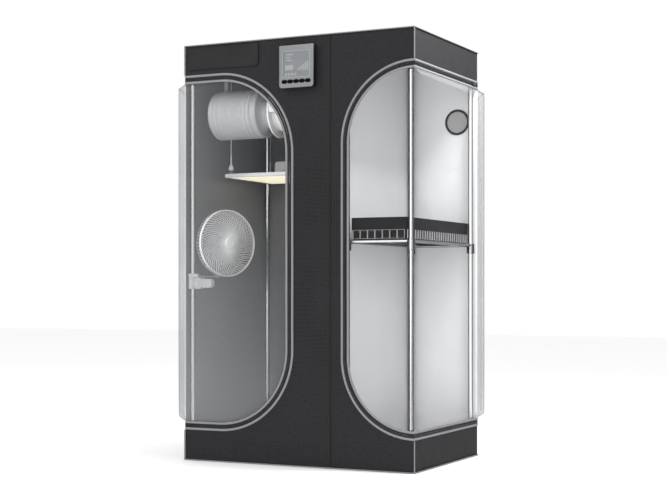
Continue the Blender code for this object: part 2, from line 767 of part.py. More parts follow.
def shifted(outline, du, dv):
    return [(u + du, v + dv) for u, v in outline]


def controller():
    back = -HALF_D - SEAT_GAP
    seam = back - CONTROLLER_DEPTH / 3
    face = back - CONTROLLER_DEPTH
    round_shares = (1, 1, 0.3, 0.3)
    inset = CONTROLLER_WALL / 2

    def outline(shrink):
        return rounded_rect(CONTROLLER_WIDTH - 2 * shrink, CONTROLLER_HEIGHT - 2 * shrink,
                            CONTROLLER_ROUND - shrink, corners=round_shares)

    rear = bmesh.new()
    skin(rear, [[controller_point(u, v, d) for u, v in outline(s)]
                for d, s in ((back, inset), (back - inset, 0.0), (seam + SEAT_GAP, 0.0))])
    place("controller_back", rear, DARK_PLASTIC, smooth=30)
    front = bmesh.new()
    skin(front, [[controller_point(u, v, d) for u, v in outline(s)]
                 for d, s in ((seam, 0.0), (face + inset, 0.0), (face, inset))])
    shell = place("controller_front", front, PALE_PLASTIC, smooth=30)
    pocket = bmesh.new()
    prism(pocket, outline(CONTROLLER_WALL), controller_point, seam + CUT_OVERRUN, face + CONTROLLER_WALL)
    cut(shell, "controller_pocket", pocket)
    screen_v = CONTROLLER_HEIGHT / 2 - SCREEN_DROP - SCREEN_HEIGHT / 2
    pane = rounded_rect(SCREEN_WIDTH, SCREEN_HEIGHT, CONTROLLER_WALL, 2)
    window = bmesh.new()
    prism(window, shifted(pane, 0.0, screen_v), controller_point, face - CUT_OVERRUN, face + CUT_OVERRUN / 2)
    cut(shell, "screen_window", window)
    hole = rounded_rect(BUTTON_WIDTH + 2 * RUNNING_GAP, BUTTON_HEIGHT + 2 * RUNNING_GAP, BUTTON_HEIGHT / 3, 2)
    holes = bmesh.new()
    for u, v in button_places():
        prism(holes, shifted(hole, u, v), controller_point, face - CUT_OVERRUN, face + CUT_OVERRUN / 2)
    cut(shell, "button_holes", holes)
    glass = bmesh.new()
    small = rounded_rect(SCREEN_WIDTH - 2 * SEAT_GAP, SCREEN_HEIGHT - 2 * SEAT_GAP, CONTROLLER_WALL - SEAT_GAP, 2)
    prism(glass, shifted(small, 0.0, screen_v), controller_point, face + inset / 2, face + CONTROLLER_WALL)
    place("controller_screen", glass, DARK_PLASTIC)
    cap = rounded_rect(BUTTON_WIDTH, BUTTON_HEIGHT, BUTTON_HEIGHT / 3, 2)
    dish = rounded_rect(BUTTON_WIDTH - BUTTON_PROUD, BUTTON_HEIGHT - BUTTON_PROUD, BUTTON_HEIGHT / 3, 2)
    for n, (u, v) in enumerate(button_places(), start=1):
        bm = bmesh.new()
        rings = ((cap, face + CONTROLLER_WALL), (cap, face - BUTTON_PROUD / 2), (dish, face - BUTTON_PROUD))
        skin(bm, [[controller_point(p + u, q + v, d) for p, q in ring] for ring, d in rings])
        place(f"controller_button_{n}", bm, DARK_PLASTIC, origin=controller_point(u, v, face), smooth=30)


def bare_plate():
    """Blank raised plate on the header, with its lower inner corner rounded."""
    bm = bmesh.new()
    width, height = PLATE_RIGHT - PLATE_LEFT, PLATE_TOP - PLATE_LOW
    outline = rounded_rect(width, height, PLATE_ROUND, corners=(0, 1, 0, 0))
    centre = Vector(((PLATE_LEFT + PLATE_RIGHT) / 2, 0.0, (PLATE_LOW + PLATE_TOP) / 2))
    back = -HALF_D - SEAT_GAP
    prism(bm, outline, lambda u, v, d: centre + Vector((u, d, v)), back, back - PLATE_THICK)
    place("header_plate", bm, DARK_PLASTIC, smooth=30)


# Filter and inline fan

def duct_point(x):
    return (x, DUCT_Y, DUCT_Z)


def carbon_filter():
    """Mesh canister with a domed end cap, and a collar that narrows to the fan's mouth."""
    core = FILTER_RADIUS - FILTER_CAP_WALL
    left, right = FILTER_CAP, FILTER_RIGHT - FILTER_LEFT - FILTER_CAP
    dome_rise = FILTER_CAP * 2 / 3
    rim = FILTER_CAP_WALL * 2
    reach = FAN_START - FILTER_LEFT + FAN_NECK / 4
    spigot = FAN_NECK - SEAT_GAP
    bend_shares = ((0.0, 1.0), (0.15, 0.5), (0.5, 0.15), (1.0, 0.0))
    profile = [(dome_rise * along, FILTER_RADIUS - dome_rise * drop) for along, drop in bend_shares]
    profile += [(left, FILTER_RADIUS), (left, core), (right, core), (right, FILTER_RADIUS)]
    profile += [(right + FILTER_CAP - rim, FILTER_RADIUS), (right + FILTER_CAP, FILTER_RADIUS - rim)]
    profile += [(right + FILTER_CAP + rim, spigot + rim), (right + FILTER_CAP + rim * 2, spigot), (reach, spigot)]
    bm = bmesh.new()
    turned(bm, duct_point(FILTER_LEFT), (1, 0, 0), profile, WIDE_SIDES, closed_path=False)
    place("carbon_filter", bm, WEBBING, smooth=40)


def barrel_shares():
    """Outside of the fan body as shares of its length, with radii."""
    return ((0.0, DUCT_RING), (0.04, DUCT_RING), (0.05, FAN_NECK + FAN_WALL * 4), (0.25, FAN_RADIUS), (0.75, FAN_RADIUS),
            (0.92, FAN_NECK + FAN_WALL), (1.0, FAN_NECK + FAN_WALL))


def blade(bm, centre, direction, start, end, depth, angle, twist, thick):
    """One twisted blade: four-cornered sections from the hub out to the tip."""
    d = Vector(direction).normalized()
    u, v = basis(d)
    rings = []
    for k in range(4):
        share = k / 3
        r = start + (end - start) * share
        spin = math.radians(angle + 14 * share)
        radial = u * math.cos(spin) + v * math.sin(spin)
        side = d.cross(radial)
        tilt = math.radians(90 - twist * (1 - TWIST_FADE_SHARE * share))
        chord = d * math.sin(tilt) + side * math.cos(tilt)
        normal = radial.cross(chord).normalized()
        at = Vector(centre) + radial * r
        half = depth / 2 * (0.85 + 0.35 * share)
        rings.append([at + chord * (half * a) + normal * (thick / 2 * b) for a, b in ((-1, -1), (1, -1), (1, 1), (-1, 1))])
    skin(bm, rings)


def bladed_wheel(name, centre, direction, hub_profile, hub_radius, tip, depth, count, look):
    hub = bmesh.new()
    turned(hub, centre, direction, hub_profile, WIDE_SIDES, closed_path=False)
    blades = bmesh.new()
    for n in range(count):
        blade(blades, centre, direction, hub_radius * 0.9, tip, depth, 360 * n / count, BLADE_TWIST, FAN_WALL / 2)
    place(name, joined(name, [hub, blades]), look, origin=centre, smooth=40)


def inline_fan():
    x_axis = (1, 0, 0)
    start = duct_point(FAN_START)
    outer = [(FAN_BODY * share, radius) for share, radius in barrel_shares()]
    bore = [(along, max(FAN_NECK, radius - FAN_WALL)) for along, radius in outer[3:5]]
    inner = [(FAN_BODY, FAN_NECK), (FAN_BODY * 0.92, FAN_NECK)] + bore[::-1] + [(FAN_BODY * 0.05, FAN_NECK), (0.0, FAN_NECK)]
    housing = bmesh.new()
    turned(housing, start, x_axis, outer + inner, WIDE_SIDES)
    middle = FAN_START + FAN_BODY * 0.40
    hub = FAN_BODY * 0.11
    bladed_wheel("duct_fan_impeller", duct_point(middle), x_axis,
                 ((-hub * NOSE_SHARE, MOTOR_RADIUS * 0.35), (-hub, MOTOR_RADIUS * 0.8), (-hub / 3, MOTOR_RADIUS), (hub, MOTOR_RADIUS)),
                 MOTOR_RADIUS, FAN_RADIUS - FAN_WALL * 2, hub * BLADE_DEPTH_SHARE, BLADES, DARK_PLASTIC)
    motor_start = middle + hub + RUNNING_GAP
    motor_end = FAN_START + FAN_BODY * 0.80
    body = bmesh.new()
    rod(body, duct_point(motor_start), duct_point(motor_end), MOTOR_RADIUS, WIDE_SIDES)
    struts = bmesh.new()
    strut_reach = FAN_RADIUS - FAN_WALL / 2
    strut_end = FAN_START + FAN_BODY * 0.74
    for n in range(3):
        a = math.tau * (n + 0.25) / 3
        arm = Vector((0, math.cos(a), math.sin(a)))
        across = Vector((0, -math.sin(a), math.cos(a))) * (FAN_WALL / 2)
        ring = []
        for reach, sign in ((MOTOR_RADIUS * 0.9, 1), (strut_reach, 1), (strut_reach, -1), (MOTOR_RADIUS * 0.9, -1)):
            ring.append(Vector((0, DUCT_Y, DUCT_Z)) + arm * reach + across * sign)
        skin(struts, [[p + Vector((x, 0, 0)) for p in ring] for x in (strut_end - FAN_BODY * 0.14, strut_end)])
    place("duct_fan_housing", joined("duct_fan", [housing, struts, body]), PALE_PLASTIC, smooth=40)
    case = bmesh.new()
    box_start = FAN_START + FAN_BODY * 0.05 + SEAT_GAP
    box_end = box_start + BOX_LENGTH
    profile = rounded_rect(BOX_LENGTH, BOX_HEIGHT * BOX_BLANK_SHARE, FAN_WALL * 2, 3)
    centre = Vector(((box_start + box_end) / 2, 0.0, DUCT_Z + BOX_HEIGHT * 0.7))
    prism(case, profile, lambda u, v, d: centre + Vector((u, d, v)), DUCT_Y - FAN_RADIUS - FAN_WALL * 4, DUCT_Y - FAN_NECK)
    control = place("duct_fan_control_box", case, PALE_PLASTIC, smooth=30)
    saddle = bmesh.new()
    turned(saddle, start, x_axis, [(-CUT_OVERRUN, DUCT_RING + SEAT_GAP), (outer[1][0] + SEAT_GAP, DUCT_RING + SEAT_GAP)]
           + [(along, radius + SEAT_GAP) for along, radius in outer[2:]], WIDE_SIDES, closed_path=False)
    cut(control, "barrel_saddle", saddle)


def straps():
    """Webbing straps: each loops round the filter and over the front hanger bar, through a cam buckle."""
    bar_z = bar_height()
    hold = FILTER_RADIUS - FILTER_CAP_WALL + SEAT_GAP
    bar_hold = BAR_RADIUS + SEAT_GAP
    half = STRAP_WIDTH / 2
    for label, x in zip(("left", "right"), STRAP_PLACES):
        low_loop, top_loop, web, buckle = (bmesh.new() for _ in range(4))
        tube(low_loop, (x - half, DUCT_Y, DUCT_Z), (x + half, DUCT_Y, DUCT_Z), hold + STRAP_THICK, STRAP_THICK, WIDE_SIDES)
        tube(top_loop, (x - half, DUCT_Y, bar_z), (x + half, DUCT_Y, bar_z), bar_hold + STRAP_THICK, STRAP_THICK, POLE_SIDES)
        box(web, (x - half + SEAT_GAP, DUCT_Y - STRAP_THICK, DUCT_Z + hold + STRAP_THICK / 2),
            (x + half - SEAT_GAP, DUCT_Y + STRAP_THICK, bar_z - bar_hold - STRAP_THICK / 2))
        wide = BUCKLE_WIDTH / 2
        at = (DUCT_Z + hold + bar_z) / 2
        box(buckle, (x - wide, DUCT_Y - STRAP_THICK * 3, at - half), (x + wide, DUCT_Y + STRAP_THICK * 2, at + half))
        place(f"filter_strap_{label}", joined("strap", [low_loop, top_loop, web, buckle]), WEBBING, smooth=40)


# Hanging light

def rope_places():
    left, right = LIGHT_LEFT + ROPE_INSET, LIGHT_RIGHT - ROPE_INSET
    return [(x, y) for x in (left, right) for y in BAR_PLACES[1:]]


def hanging_light():
    width, depth = LIGHT_RIGHT - LIGHT_LEFT, LIGHT_BACK - LIGHT_FRONT
    centre = Vector(((LIGHT_LEFT + LIGHT_RIGHT) / 2, (LIGHT_FRONT + LIGHT_BACK) / 2, 0.0))
    top = LIGHT_Z + LIGHT_THICK

    def outline(shrink):
        return rounded_rect(width - 2 * shrink, depth - 2 * shrink, LIGHT_FRAME, 3)

    def level(shrink, z):
        return [centre + Vector((u, v, z)) for u, v in outline(shrink)]

    frame, board = bmesh.new(), bmesh.new()
    recess = LIGHT_Z + LIGHT_THICK / 2
    skin(frame, [level(LIGHT_FRAME, recess), level(LIGHT_FRAME, LIGHT_Z), level(0.0, LIGHT_Z), level(0.0, top)])
    skin(board, [level(LIGHT_FRAME + SEAT_GAP, LIGHT_Z + LENS), level(LIGHT_FRAME + SEAT_GAP, recess - SEAT_GAP)])
    place("light_board", board, GLOW)
    driver = bmesh.new()
    profile = rounded_rect(DRIVER_LENGTH, DRIVER_HEIGHT, DRIVER_ROUND, 4)
    at = Vector((centre.x + DRIVER_LENGTH / 8, centre.y, top + SEAT_GAP + DRIVER_HEIGHT / 2))
    prism(driver, profile, lambda u, v, d: at + Vector((u, d, v)), -DRIVER_DEPTH / 2, DRIVER_DEPTH / 2)
    place("light_driver", driver, PALE_PLASTIC, smooth=40)
    eye = bmesh.new()
    for x, y in rope_places():
        rod(eye, (x, y, top - LENS), (x, y, top + LENS), ROPE, SLIM_SIDES)
    frame_bm = joined("light_frame", [frame, eye])
    place("light_frame", frame_bm, PALE_PLASTIC, smooth=30)
    ropes()


def ropes():
    """Hanger ropes: a loop over the bar, a straight fall, and a teardrop ratchet hook in an eye of the light."""
    bar_z = bar_height()
    hook_foot = LIGHT_Z + LIGHT_THICK + LENS + SEAT_GAP
    wrap = BAR_RADIUS + SEAT_GAP
    half = CLIP_WIDTH / 4
    hook_shares = ((0.0, 0.45), (0.12, 0.8), (0.35, 1.0), (0.6, 0.75), (0.85, 0.35), (1.0, 0.28))
    for label, (x, y) in zip(("front_left", "back_left", "front_right", "back_right"), rope_places()):
        fall, hook, loop = (bmesh.new() for _ in range(3))
        rod(fall, (x, y, hook_foot + RATCHET_HEIGHT / 2), (x, y, bar_z - wrap - ROPE / 2), ROPE / 2, SLIM_SIDES)
        turned(hook, (x, y, hook_foot), (0, 0, 1),
               [(RATCHET_HEIGHT * a, RATCHET_RADIUS * b) for a, b in hook_shares], SLIM_SIDES, closed_path=False)
        tube(loop, (x - half, y, bar_z), (x + half, y, bar_z), wrap + ROPE, ROPE, SLIM_SIDES)
        place(f"hanger_rope_{label}", joined("rope", [fall, hook, loop]), WEBBING, smooth=60)


# Clip fan

def fan_axis():
    a = math.radians(FAN_AIM)
    return Vector((math.cos(a), math.sin(a), 0.0))


def fan_point(along, radius=0.0, angle=0.0):
    d = fan_axis()
    u, v = basis(d)
    return Vector(FAN_CENTRE) + d * along + (u * math.cos(angle) + v * math.sin(angle)) * radius


def dome(radius):
    return GRILLE_DOME * (1 - (radius / GRILLE_RADIUS) ** 2)


def rib(bm, path, turn, swirl, width, depth):
    """One grille rib along a path of (distance along, radius), turning by swirl as it goes."""
    start, end = path[0][1], path[-1][1]
    rings = []
    for along, radius in path:
        spin = turn + math.radians(swirl) * (radius - start) / (end - start)
        half = width / 2 / radius
        rings.append([fan_point(along - depth * back, radius, spin + half * side)
                      for side, back in ((-1, 0), (1, 0), (1, 1), (-1, 1))])
    skin(bm, rings)


def front_grille():
    d = fan_axis()
    rim = GRILLE_RADIUS - RING_TUBE
    steps = 3
    ribs = bmesh.new()
    start = CAP_RADIUS - SPOKE_WIDTH
    for n in range(SPOKES):
        path = []
        for k in range(steps + 1):
            radius = start + (rim + SPOKE_WIDTH - start) * k / steps
            path.append((dome(radius), radius))
        rib(ribs, path, math.tau * n / SPOKES, SPOKE_SWIRL, SPOKE_WIDTH, SPOKE_DEPTH)
    ring = bmesh.new()
    turned(ring, FAN_CENTRE, d, ((-RING_TUBE * 2, rim), (-RING_TUBE * 2, GRILLE_RADIUS), (RING_TUBE / 2, GRILLE_RADIUS),
                                 (RING_TUBE, GRILLE_RADIUS - RING_TUBE / 2), (RING_TUBE / 2, rim)), SPOKES)
    hub = bmesh.new()
    seat = dome(CAP_RADIUS)
    turned(hub, FAN_CENTRE, d, ((seat - SPOKE_DEPTH * 1.3, CAP_RADIUS), (seat + CAP_HEIGHT / 2, CAP_RADIUS),
                                (seat + CAP_HEIGHT, CAP_RADIUS * 0.85)), WIDE_SIDES, closed_path=False)
    place("clip_fan_front_grille", joined("front_grille", [ring, ribs, hub]), PALE_PLASTIC, origin=FAN_CENTRE, smooth=40)


def rear_grille():
    d = fan_axis()
    back = -GRILLE_DEPTH
    wall_end = back * 0.36
    hold = MOTOR_CASE + SEAT_GAP
    ring_wide = RING_TUBE * 0.8
    path = ((back * 0.30, GRILLE_RADIUS - RING_TUBE * 0.8), (back * 0.58, GRILLE_RADIUS * 0.90),
            (back * 0.74, GRILLE_RADIUS * 0.66), (back * 0.80, hold + SPOKE_WIDTH / 2))
    ribs = bmesh.new()
    for n in range(REAR_RIBS):
        rib(ribs, path, math.tau * n / REAR_RIBS, -SPOKE_SWIRL / 2, SPOKE_WIDTH * 1.2, SPOKE_DEPTH)
    wall = bmesh.new()
    front = -RING_TUBE * 2 - SEAT_GAP
    turned(wall, FAN_CENTRE, d, ((front, GRILLE_RADIUS - RING_TUBE), (wall_end, GRILLE_RADIUS - RING_TUBE),
                                 (wall_end, GRILLE_RADIUS - RING_TUBE / 4), (front, GRILLE_RADIUS)), SPOKES)
    ring = bmesh.new()
    turned(ring, FAN_CENTRE, d, ((back * 0.90, hold), (back * 0.90, hold + ring_wide),
                                 (back * 0.78, hold + ring_wide), (back * 0.78, hold)), WIDE_SIDES)
    place("clip_fan_rear_grille", joined("rear_grille", [wall, ribs, ring]), PALE_PLASTIC, origin=FAN_CENTRE, smooth=40)


def fan_drive():
    """Motor case with its tilt knuckle, and the wheel that turns on its shaft."""
    d = fan_axis()
    back = -GRILLE_DEPTH
    case_front, case_back = back * 0.78, back * 1.22
    case = bmesh.new()
    turned(case, FAN_CENTRE, d, ((case_front, MOTOR_CASE), (back * 1.04, MOTOR_CASE), (back * 1.16, MOTOR_CASE * 0.82),
                                 (case_back, MOTOR_CASE * 0.55)), WIDE_SIDES, closed_path=False)
    pivot = tilt_pivot()
    across = fan_across()
    knuckle = bmesh.new()
    rod(knuckle, pivot - across * KNUCKLE_HALF, pivot + across * KNUCKLE_HALF, YOKE_RADIUS, POLE_SIDES)
    boss = bmesh.new()
    rod(boss, pivot, pivot + Vector((0, 0, YOKE_RADIUS * 2)), YOKE_RADIUS * 0.6, SLIM_SIDES)
    middle = fan_point(back * WHEEL_SHARE)
    hub = IMPELLER_DEPTH / 2
    shaft = bmesh.new()
    rod(shaft, fan_point(case_front - SHAFT_RADIUS), fan_point(back * WHEEL_SHARE - hub - SEAT_GAP), SHAFT_RADIUS, SLIM_SIDES)
    place("clip_fan_motor", joined("fan_motor", [case, knuckle, boss, shaft]), PALE_PLASTIC, origin=pivot, smooth=40)
    bladed_wheel("clip_fan_impeller", middle, d,
                 ((-hub, IMPELLER_HUB), (hub * 0.4, IMPELLER_HUB), (hub * 0.9, IMPELLER_HUB * 0.5)),
                 IMPELLER_HUB, IMPELLER_RADIUS, IMPELLER_DEPTH * 0.72, FAN_BLADES, PALE_PLASTIC)


def fan_across():
    d = fan_axis()
    return Vector((-d.y, d.x, 0.0))


def tilt_pivot():
    return fan_point(-GRILLE_DEPTH * PIVOT_SHARE) - Vector((0, 0, MOTOR_CASE + YOKE_RADIUS + CLAMP_WALL / 2))


def clamp_outline(side, reach_shares):
    """Plan outline of one clamp half: a half ring round the pole, then a flared grip along +X."""
    hold = POLE_RADIUS + SEAT_GAP
    outer = hold + CLAMP_WALL
    pole = (-POLE_X, -POLE_Y)
    start, grip_near, grip_far = reach_shares
    arc = [math.radians(a) for a in (168, 144, 120, 96, 72)]
    inner_run = [(pole[0] + hold * math.cos(a), pole[1] + side * hold * math.sin(a)) for a in reversed(arc)]
    outer_run = [(pole[0] + outer * math.cos(a), pole[1] + side * outer * math.sin(a)) for a in arc]
    grip_end = pole[0] + outer + HANDLE_LENGTH
    grip_start = pole[0] + outer * 0.8
    near = [(grip_start, pole[1] + side * start), (grip_end, pole[1] + side * grip_near)]
    far = [(grip_end, pole[1] + side * grip_far), (grip_start, pole[1] + side * outer * 0.8)]
    return inner_run[::-1] + near + far + outer_run[::-1]


def fan_mount():
    """Clamp on the front left pole, its squeezed grip, the swivel arm and the fork under the fan."""
    low, top = CLAMP_Z - CLAMP_HEIGHT / 2, CLAMP_Z + CLAMP_HEIGHT / 2
    shares = (CLAMP_WALL / 2 + SEAT_GAP, CLAMP_WALL, CLAMP_WALL * 1.8)
    plan = lambda u, v, d: Vector((u, v, d))
    fixed = bmesh.new()
    prism(fixed, clamp_outline(-1, shares), plan, low, top + SEAT_GAP * 3)
    pivot = tilt_pivot()
    swivel = Vector((pivot.x, pivot.y, top))
    arm = bmesh.new()
    begin = Vector((-POLE_X + POLE_RADIUS + CLAMP_WALL * CLAMP_START_SHARE, -POLE_Y - CLAMP_WALL, 0.0))
    run = Vector((swivel.x, swivel.y, 0.0)) - begin
    across = run.cross(Vector((0, 0, 1))).normalized() * (CLAMP_WALL * 1.1)
    skin(arm, [[p + Vector((0, 0, z)) for p in (begin - across, begin + across, begin + run + across, begin + run - across)]
               for z in (top + SEAT_GAP * 2, top + CLAMP_WALL)])
    disc = bmesh.new()
    rod(disc, swivel + Vector((0, 0, SEAT_GAP)), swivel + Vector((0, 0, CLAMP_WALL + SEAT_GAP)), YOKE_RADIUS * 1.2, POLE_SIDES)
    jaw = bmesh.new()
    prism(jaw, clamp_outline(1, shares), plan, low, top)
    pin_x = -POLE_X + POLE_RADIUS + CLAMP_WALL * 2
    hinge = (pin_x, -POLE_Y, CLAMP_Z)
    place("clip_fan_jaw", jaw, PALE_PLASTIC, origin=hinge, smooth=30)
    pin = bmesh.new()
    pin_y = -POLE_Y - SEAT_GAP * 2
    rod(pin, (pin_x, pin_y, low + SEAT_GAP), (pin_x, pin_y, top), CLAMP_WALL / 2 + SEAT_GAP * 2, POLE_SIDES)
    place("clip_fan_clamp", joined("clamp", [fixed, arm, disc, pin]), PALE_PLASTIC, smooth=30)
    base = swivel + Vector((0, 0, CLAMP_WALL + SEAT_GAP * 2))
    fork_foot = pivot.z - YOKE_RADIUS - RUNNING_GAP
    stem = bmesh.new()
    rod(stem, base, (base.x, base.y, fork_foot), YOKE_RADIUS * 0.8, POLE_SIDES)
    ears = bmesh.new()
    across = fan_across()
    forward = fan_axis()
    ear_near = KNUCKLE_HALF + RUNNING_GAP
    for side in (-1, 1):
        outline = [(-YOKE_RADIUS, 0.0), (YOKE_RADIUS, 0.0)]
        height = pivot.z - fork_foot + CLAMP_WALL
        outline += [(YOKE_RADIUS * math.cos(a), height + YOKE_RADIUS * math.sin(a)) for a in (0, 0.8, math.pi / 2, 2.34, math.pi)]
        foot = Vector((pivot.x, pivot.y, fork_foot - CLAMP_WALL))
        prism(ears, outline, lambda u, v, d: foot + forward * u + Vector((0, 0, v)) + across * (side * d),
              ear_near, ear_near + CLAMP_WALL / 2)
    bridge = bmesh.new()
    wide = ear_near + CLAMP_WALL / 2
    prism(bridge, rounded_rect(YOKE_RADIUS * 2, wide * 2, CLAMP_WALL / 4, 2),
          lambda u, v, d: Vector((pivot.x, pivot.y, d)) + forward * u + across * v, fork_foot - CLAMP_WALL, fork_foot)
    place("clip_fan_neck", joined("neck", [stem, bridge, ears]), PALE_PLASTIC, origin=base, smooth=40)


# Shelf

def shelf():
    """Tube frame with a moulded clamp round each of the four poles."""
    along_x, along_y, clamps = (bmesh.new() for _ in range(3))
    hold = POLE_RADIUS + SEAT_GAP
    start = hold + SHELF_CLAMP_WALL / 2
    x0, x1, y1 = DIVIDER_X, POLE_X, POLE_Y
    low = SHELF_HEIGHT - SHELF_CLAMP_HEIGHT + SHELF_TUBE - SEAT_GAP
    for y in (-y1, y1):
        rod(along_x, (x0 + start, y, SHELF_HEIGHT), (x1 - start, y, SHELF_HEIGHT), SHELF_TUBE)
    for x in (x0, x1):
        rod(along_y, (x, -y1 + start, SHELF_HEIGHT), (x, y1 - start, SHELF_HEIGHT), SHELF_TUBE)
        for y in (-y1, y1):
            tube(clamps, (x, y, low), (x, y, SHELF_HEIGHT + SHELF_TUBE), hold + SHELF_CLAMP_WALL, SHELF_CLAMP_WALL)
    place("shelf_frame", joined("shelf", [clamps, along_x, along_y]), STEEL, smooth=40)


def tray():
    """Open moulded tray: a rolled rim, tapered walls and ribs round the lower part."""
    width, depth = TRAY_RIGHT - TRAY_LEFT, TRAY_BACK - TRAY_FRONT
    centre = Vector(((TRAY_LEFT + TRAY_RIGHT) / 2, (TRAY_FRONT + TRAY_BACK) / 2, 0.0))
    base = SHELF_HEIGHT + SHELF_TUBE + SEAT_GAP
    top = base + TRAY_HEIGHT

    def outline(shrink):
        return rounded_rect(width - 2 * shrink, depth - 2 * shrink, TRAY_CORNER, 4)

    slope = TRAY_DRAFT + RIB_PROUD
    step = base + TRAY_RIB_ZONE
    shell = bmesh.new()
    levels = ((slope + TRAY_DRAFT, base), (slope, step), (RIB_PROUD / 2, step + RIB_PROUD), (0.0, top),
              (TRAY_WALL, top), (slope + TRAY_WALL, step), (slope + TRAY_DRAFT + TRAY_WALL, base + TRAY_WALL))
    skin(shell, [[centre + Vector((u, v, z)) for u, v in outline(s)] for s, z in levels])
    ribs = bmesh.new()
    low, high = base + RIB_PROUD * 2, step + SEAT_GAP
    front_pitch = (width - 4 * TRAY_CORNER / 3) / FRONT_CELLS
    side_pitch = (depth - 2 * TRAY_CORNER) / SIDE_RIBS
    fin = RIB_PROUD / 2
    sunk = slope + TRAY_WALL / 2
    for n in range(FRONT_CELLS + 1):
        x = centre.x + (n - FRONT_CELLS / 2) * front_pitch
        for y0, y1 in ((TRAY_FRONT + fin, TRAY_FRONT + sunk), (TRAY_BACK - sunk, TRAY_BACK - fin)):
            box(ribs, (x - fin, y0, low), (x + fin, y1, high))
    for n in range(SIDE_RIBS + 1):
        y = centre.y + (n - SIDE_RIBS / 2) * side_pitch
        for x0, x1 in ((TRAY_LEFT + fin, TRAY_LEFT + sunk), (TRAY_RIGHT - sunk, TRAY_RIGHT - fin)):
            box(ribs, (x0, y - fin * WIDE_FIN_SHARE, low), (x1, y + fin * WIDE_FIN_SHARE, high))
    place("shelf_tray", joined("tray", [shell, ribs]), DARK_PLASTIC, smooth=30)


def main():
    clear_scene()
    upright_poles()
    rail_frame("roof_frame", RAIL_TOP, -1)
    rail_frame("floor_frame", RAIL_LOW, 1)
    hanger_bars()
    cover()
    doors()
    back_vent()
    sleeve_port()
    controller()
    bare_plate()
    carbon_filter()
    inline_fan()
    straps()
    hanging_light()
    front_grille()
    rear_grille()
    fan_drive()
    fan_mount()
    shelf()
    tray()


main()
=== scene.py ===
import math

import bmesh
import bpy
from mathutils import Matrix, Vector, noise


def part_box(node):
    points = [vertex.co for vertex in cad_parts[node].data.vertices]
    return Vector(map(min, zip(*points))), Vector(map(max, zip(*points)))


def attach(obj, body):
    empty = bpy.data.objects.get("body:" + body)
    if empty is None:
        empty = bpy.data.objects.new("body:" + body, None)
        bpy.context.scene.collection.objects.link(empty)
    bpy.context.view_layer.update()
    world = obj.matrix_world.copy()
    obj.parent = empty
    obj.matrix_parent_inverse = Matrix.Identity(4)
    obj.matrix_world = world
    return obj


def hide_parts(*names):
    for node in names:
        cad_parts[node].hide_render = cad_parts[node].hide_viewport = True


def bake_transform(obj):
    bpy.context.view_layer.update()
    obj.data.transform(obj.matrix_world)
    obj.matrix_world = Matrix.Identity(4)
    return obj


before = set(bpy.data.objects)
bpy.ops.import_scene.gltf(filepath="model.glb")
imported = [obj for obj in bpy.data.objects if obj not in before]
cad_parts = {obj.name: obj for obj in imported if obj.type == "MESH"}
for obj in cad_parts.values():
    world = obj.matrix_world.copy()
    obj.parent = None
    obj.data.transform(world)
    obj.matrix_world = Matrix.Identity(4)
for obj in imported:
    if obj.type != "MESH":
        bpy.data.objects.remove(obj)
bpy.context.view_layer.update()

bl_info = {
    "name": "Indoor grow tent",
    "version": (1, 0, 0),
    "blender": (4, 5, 0),
    "location": "View3D > Sidebar > Grow tent",
    "description": "Cloth, film, zips, plastics and metal of an indoor grow tent",
    "category": "Object",
}

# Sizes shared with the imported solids, in metres
HALF_W, HALF_D, HEIGHT = 0.457, 0.305, 1.524
SEAT = 0.0003
WINDOWS = {-1: (-0.007, 0.3), 1: (0.18, 0.277)}
WINDOW_TOP, WINDOW_LOW = 1.414, 0.112
BAND = 0.032
POLE_X, POLE_Y, DIVIDER_X = 0.437, 0.285, 0.195
DIVIDER_WALL = 0.1804
RAIL_TOP = 1.5097
BARS = (-0.17, -0.07, 0.24)
BAR_RADIUS = 0.008
DOOR_BULGE, DOOR_SLANT = 0.03, 0.034
VENT = (0.376, 1.264, 0.046)
PORT = (-0.17, 1.33, 0.075)
DUCT_Y, DUCT_Z = -0.17, 1.275
FILTER = (-0.396, -0.19, 0.09)
STRAPS = (-0.362, -0.225)
LIGHT_X, LIGHT_Y, LIGHT_Z = (-0.415, 0.02), (-0.1, 0.272), 1.052
LIGHT_THICK = 0.014
EYES_X = (LIGHT_X[0] + 0.015, LIGHT_X[1] - 0.015)
RIGHT, DEEP, UP = Vector((1, 0, 0)), Vector((0, 1, 0)), Vector((0, 0, 1))
FAN_CENTRE = Vector((-0.354, -0.175, 0.8))
FAN_AIM = math.radians(-23.75)
FAN_AXIS = Vector((math.cos(FAN_AIM), math.sin(FAN_AIM), 0.0))
FAN_SIDE = Vector((-FAN_AXIS.y, FAN_AXIS.x, 0.0))
GRILLE_RADIUS, GRILLE_DEPTH = 0.125, 0.066
SHELF_Z, SHELF_TUBE = 0.791, 0.008
TRAY_X, TRAY_Y = (0.212, 0.4265), (-0.297, 0.296)
TRAY_BASE, TRAY_HEIGHT, TRAY_STEP = 0.7993, 0.077, 0.034
CONTROLLER = (0.016, 1.414, 0.136, 0.15, 0.024)
SEAM_X = 0.141
CONTROLLER_FACE = -HALF_D - SEAT - CONTROLLER[4]
SCREEN_V = CONTROLLER[3] / 2 - 0.02 - 0.047
END_SLANT = 0.014
PLATE, PLATE_FACE, PLATE_SEAM = (-0.294, 1.471, 0.290, 0.078), -0.3093, 0.005
FAN_START = -0.14
CLAMP_Z = 0.65
FAN_PIVOT = Vector((-0.42166, -0.145229, 0.746))

